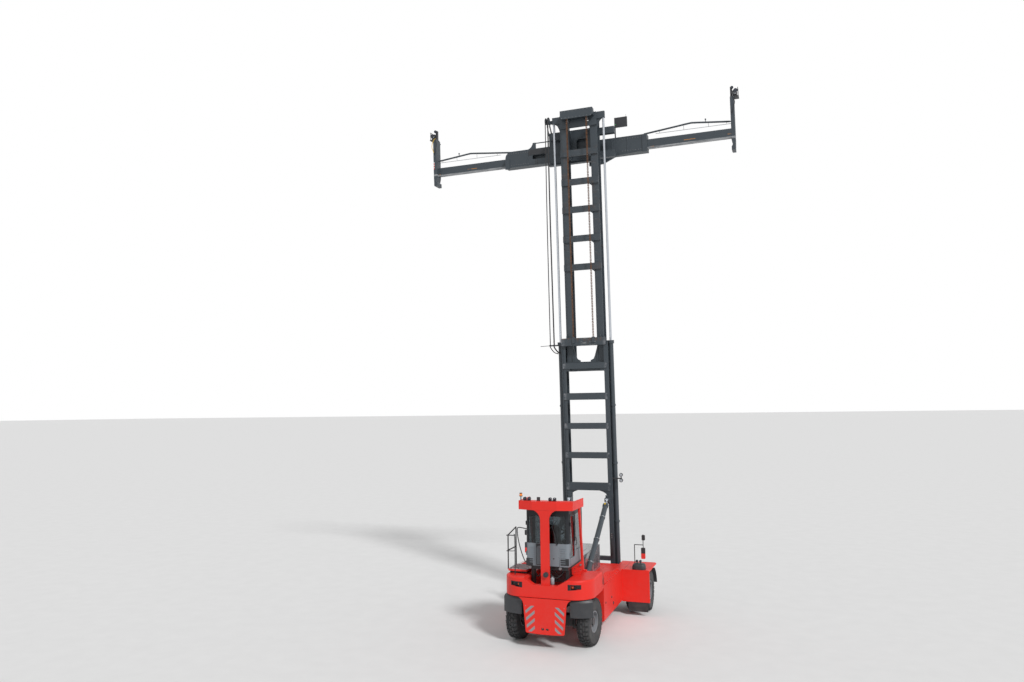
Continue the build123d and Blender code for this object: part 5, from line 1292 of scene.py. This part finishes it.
# Lap plates' paint: the same grey, rubbed pale at the plates' ends. The plate on the head beam has rust
# on its upper part and scratches from the middle to the right.
def lap_colour(tree):
    place = object_place(tree)
    parts = axes(tree, place)
    smudge = noise(tree, place, 7.0, 8.0, 0.7)
    streaks = noise(tree, stretched(tree, place, (1.2, 1.0, 16.0)), 2.2, 9.0, 0.75)
    ends = spread(tree, maths(tree, "ABSOLUTE", parts["X"]), 0.70, 0.82)
    rubbed = times(tree, ends, spread(tree, smudge, 0.44, 0.56, 0.0, 0.8))
    on_head = between(tree, parts["Z"], 9.2, 9.8)
    rusty = times(tree, spread(tree, smudge, 0.50, 0.60, 0.0, 0.8), on_head)
    rusty = times(tree, rusty, spread(tree, parts["Z"], 9.45, 9.62))
    scratched = times(tree, spread(tree, streaks, 0.56, 0.60, 0.0, 0.8), on_head)
    scratched = times(tree, scratched, between(tree, parts["X"], -0.1, 0.45))
    body = mix(tree, rubbed, DARK_GREY, (0.27, 0.28, 0.30, 1))
    body = mix(tree, rusty, body, (0.13, 0.06, 0.03, 1))
    return mix(tree, scratched, body, (0.45, 0.44, 0.42, 1))


lap_paint = coated("lap plate paint", lap_colour, 0.38, 0.10, 0.6, (0.20, 0.22, 0.24, 1))

# Mast fittings: corner plates under the inner mast's cross members, in the lap plates' paint, and a ring
# of bolts on each lift cylinder's collar.
blocks = []
for side in (-1, 1):
    for low in (16.48, 15.38, 14.33, 13.23, 12.16):
        # columns: place outwards, height from the member's lower edge
        corner = [(0.452, -0.085), (0.452, 0.002), (0.36, 0.002), (0.375, -0.025), (0.42, -0.05)]
        blocks.append(rear_sheet(0.374, [(side * x, low + z) for x, z in corner], 0.022, lap_paint))
mast_group("inner_mast_blocks", blocks, "inner_mast", "dark_grey_paint")
collar = bolt_circle(bolt_head, 0.061, 0.103, 8)
rings = [placed(collar, (x, 0.45, 9.44), UP) for x in (-0.955, 0.955)]
mast_group("collar_bolts", rings, "outer_mast", "bare_steel")


# Outer mast's cross members: a plate on each one's rear face laps over both uprights, a wider one on the
# head beam. Also a bar beside the hose clamps, two lugs and a pipe up the left upright in its clips.
def cut_corners(x0, z0, x1, z1, cut=0.02):
    return [
        (x0, z0 + cut), (x0 + cut, z0), (x1 - cut, z0), (x1, z0 + cut),
        (x1, z1 - cut), (x1 - cut, z1), (x0 + cut, z1), (x0, z1 - cut),
    ]


PIPE_X = -0.845
LAP_Y = 0.2275
HEAD_LAP_Y = 0.1675
laps = []
# plates, columns: bottom, top
for z0, z1 in [(8.495, 8.705), (7.355, 7.595), (6.285, 6.495), (5.215, 5.425), (4.055, 4.325)]:
    laps.append(rear_sheet(LAP_Y, cut_corners(-0.83, z0, 0.81, z1), 0.028, lap_paint))
laps.append(rear_sheet(HEAD_LAP_Y, cut_corners(-0.87, 9.350, 0.82, 9.625), 0.028, lap_paint))
laps.append(tube([(-1.335, 0.245, 9.385), (-1.68, 0.245, 9.37)], 0.010, 8, plastic))
laps.append(tube([(PIPE_X, 0.215, 1.95), (PIPE_X, 0.215, 9.28)], 0.013, 12, grey_steel))
laps.append(repeated(block(0.06, 0.026, 0.03), 9, (PIPE_X, 0.227, 2.3), (0, 0, 0.84)))
lug = turned(button(0, 0.02, 0.10, 0.115, 0.012), 16, grey_steel)
laps += [placed(lug, (x, 0.26, 9.625), UP) for x in (-0.66, 0.62)]
mast_group("mast_laps", laps, "outer_mast", "dark_grey_paint")

# Carriage: a round silver fitting on its rear, a little left of the middle. It is turned as one form and
# rides with the carriage.
cap = [(0, 0), (0, 0.050), (0.02, 0.052), (0.03, 0.045), (0.034, 0.028), (0.05, 0.026), (0.052, 0)]
cap = placed(turned(cap, 28, silver), (-0.226, 1.0, 17.366), REAR)
piece("carriage_fitting", on_mast(cap), "carriage", "silver_paint")

# Access rails: the curved grab bar beside the left door, the second post of the handrail with its lower
# bar, and the raised ribs on the tray's surface.
GRAB_Y = -5.05
RAIL_X = -1.335
# columns: place across, height
grab = [
    (-0.668, 2.42), (-0.74, 2.46), (-0.86, 2.77), (-0.94, 3.10), (-0.965, 3.36), (-0.91, 3.43),
    (-0.668, 3.40),
]
post = [(-1.05, GRAB_Y, 2.015), (-1.05, GRAB_Y, 3.12), (-1.10, GRAB_Y, 3.18), (-1.28, GRAB_Y, 3.18)]
post += [(RAIL_X, GRAB_Y + 0.05, 3.17), (RAIL_X, -4.89, 3.16)]
low = [(-1.05, GRAB_Y, 2.72), (-1.28, GRAB_Y, 2.71), (RAIL_X, GRAB_Y + 0.05, 2.70), (RAIL_X, -4.89, 2.70)]
bars = [tube(eased([(x, GRAB_Y, z) for x, z in grab], 6), 0.015, 12, plastic)]
bars.append(tube(eased(post, 6), 0.015, 12, plastic))
bars.append(tube(eased(low, 6), 0.011, 10, plastic))
rib = painted(block(0.50, 0.012, 0.006), access_paint)
bars.append(repeated(rib, 10, (-1.03, -4.78, 2.152), (0, 0.115, 0)))
group("access_rails", bars, "chassis", "black_paint")

# Under the cab: hoses that hang between the mount's rails with their end fittings, and a pale canister
# with its cap.
NUT_DROP = 0.02
fitting = painted(moved(nut, at(-NUT_DROP, 0, 0)), silver)
under = []
# hoses, columns: start, lowest place, end, radius
for start, middle, end, radius in [
    ((0.52, -4.88, 2.24), (0.22, -4.96, 1.97), (-0.16, -4.90, 2.22), 0.019),
    ((0.44, -4.80, 2.24), (0.30, -4.90, 2.02), (0.02, -4.84, 2.22), 0.015),
    ((-0.20, -4.86, 2.22), (-0.34, -4.97, 2.00), (-0.50, -4.90, 2.24), 0.017),
]:
    under.append(tube(eased([start, middle, end], 10), radius, 12, rubber))
    under += [placed(fitting, spot, UP) for spot in (start, end)]
# the canister takes the clear lens finish, whose faint emission makes it glow a little though it is no lamp:
# painted light
can = [(0, 0), (0, 0.055), (0.012, 0.060), (0.17, 0.060), (0.185, 0.052), (0.187, 0.030), (0.21, 0.030),
       (0.215, 0.024), (0.215, 0)]
under.append(placed(turned(can, 28, clear_lens), (0.12, -5.02, 1.80), UP))
group("under_cab_hoses", under, "chassis", "black_rubber")

# Rear plate: its bare raised middle panel, in the same red. Hood: cooling slats of black plastic on both
# sides, tilted, in three stacks a side.
panel = rear_sheet(-5.4515, cut_corners(-0.24, 0.74, 0.17, 1.21), 0.004, red_paint)
piece("rear_panel", panel, "chassis", "red_paint")
slats = []
for side in (-1, 1):
    slat = block(0.003, 0.62, 0.016, Matrix.Rotation(side * SLAT_TILT, 4, "Y"))
    slats += [repeated(slat, 12, (side * 0.565, y, 1.62), (0, 0, 0.036)) for y in (-1.35, -2.15, -2.95)]
group("hood_slats", slats, "chassis", "black_plastic")

# Mast foot and back: a valve block with its coils and two hoses on the right upright, a row of bolts on
# the left one's foot, and bolts along the header cover.
VALVE_PLACE = (0.80, 0.222, 2.45)
VALVE_SIZE = (0.07, 0.036, 0.20)


def valve_body(form):
    bmesh.ops.create_cube(form, size=1)
    bmesh.ops.scale(form, vec=VALVE_SIZE, verts=form.verts)
    bmesh.ops.translate(form, vec=VALVE_PLACE, verts=form.verts)
    bmesh.ops.bevel(form, geom=form.edges[:], offset=0.006, segments=2, profile=0.5, affect="EDGES")


valve = [painted(fresh(valve_body), plastic)]
coil = turned(button(0, 0.016, 0.045, 0.048, 0.012), 20, plastic)
valve += [moved(coil, at(0.833, 0.222, z)) for z in (2.40, 2.50)]
for x, low in [(0.785, 1.75), (0.815, 1.66)]:
    hose = [(x, 0.205, 2.38), (x - 0.01, 0.170, 2.20), (x + 0.015, 0.175, 1.95), (x, 0.20, low)]
    valve.append(tube(eased(hose), 0.012, 10, rubber))
small_set = moved(nut_set, Matrix.Scale(0.7, 4))
valve += [placed(small_set, (0.80, 0.206, z), REAR) for z in (2.38, 2.45, 2.52)]
valve.append(repeated(rear_bolt, 6, (-0.80, 0.2395, 1.75), (0, 0, 0.12)))
mast_group("mast_valve", valve, "outer_mast", "black_plastic")
header = [repeated(rear_bolt, 9, (-0.56, 0.1095, z), (0.14, 0, 0)) for z in (17.88, 18.12)]
mast_group("header_bolts", header, "inner_mast", "bare_steel")
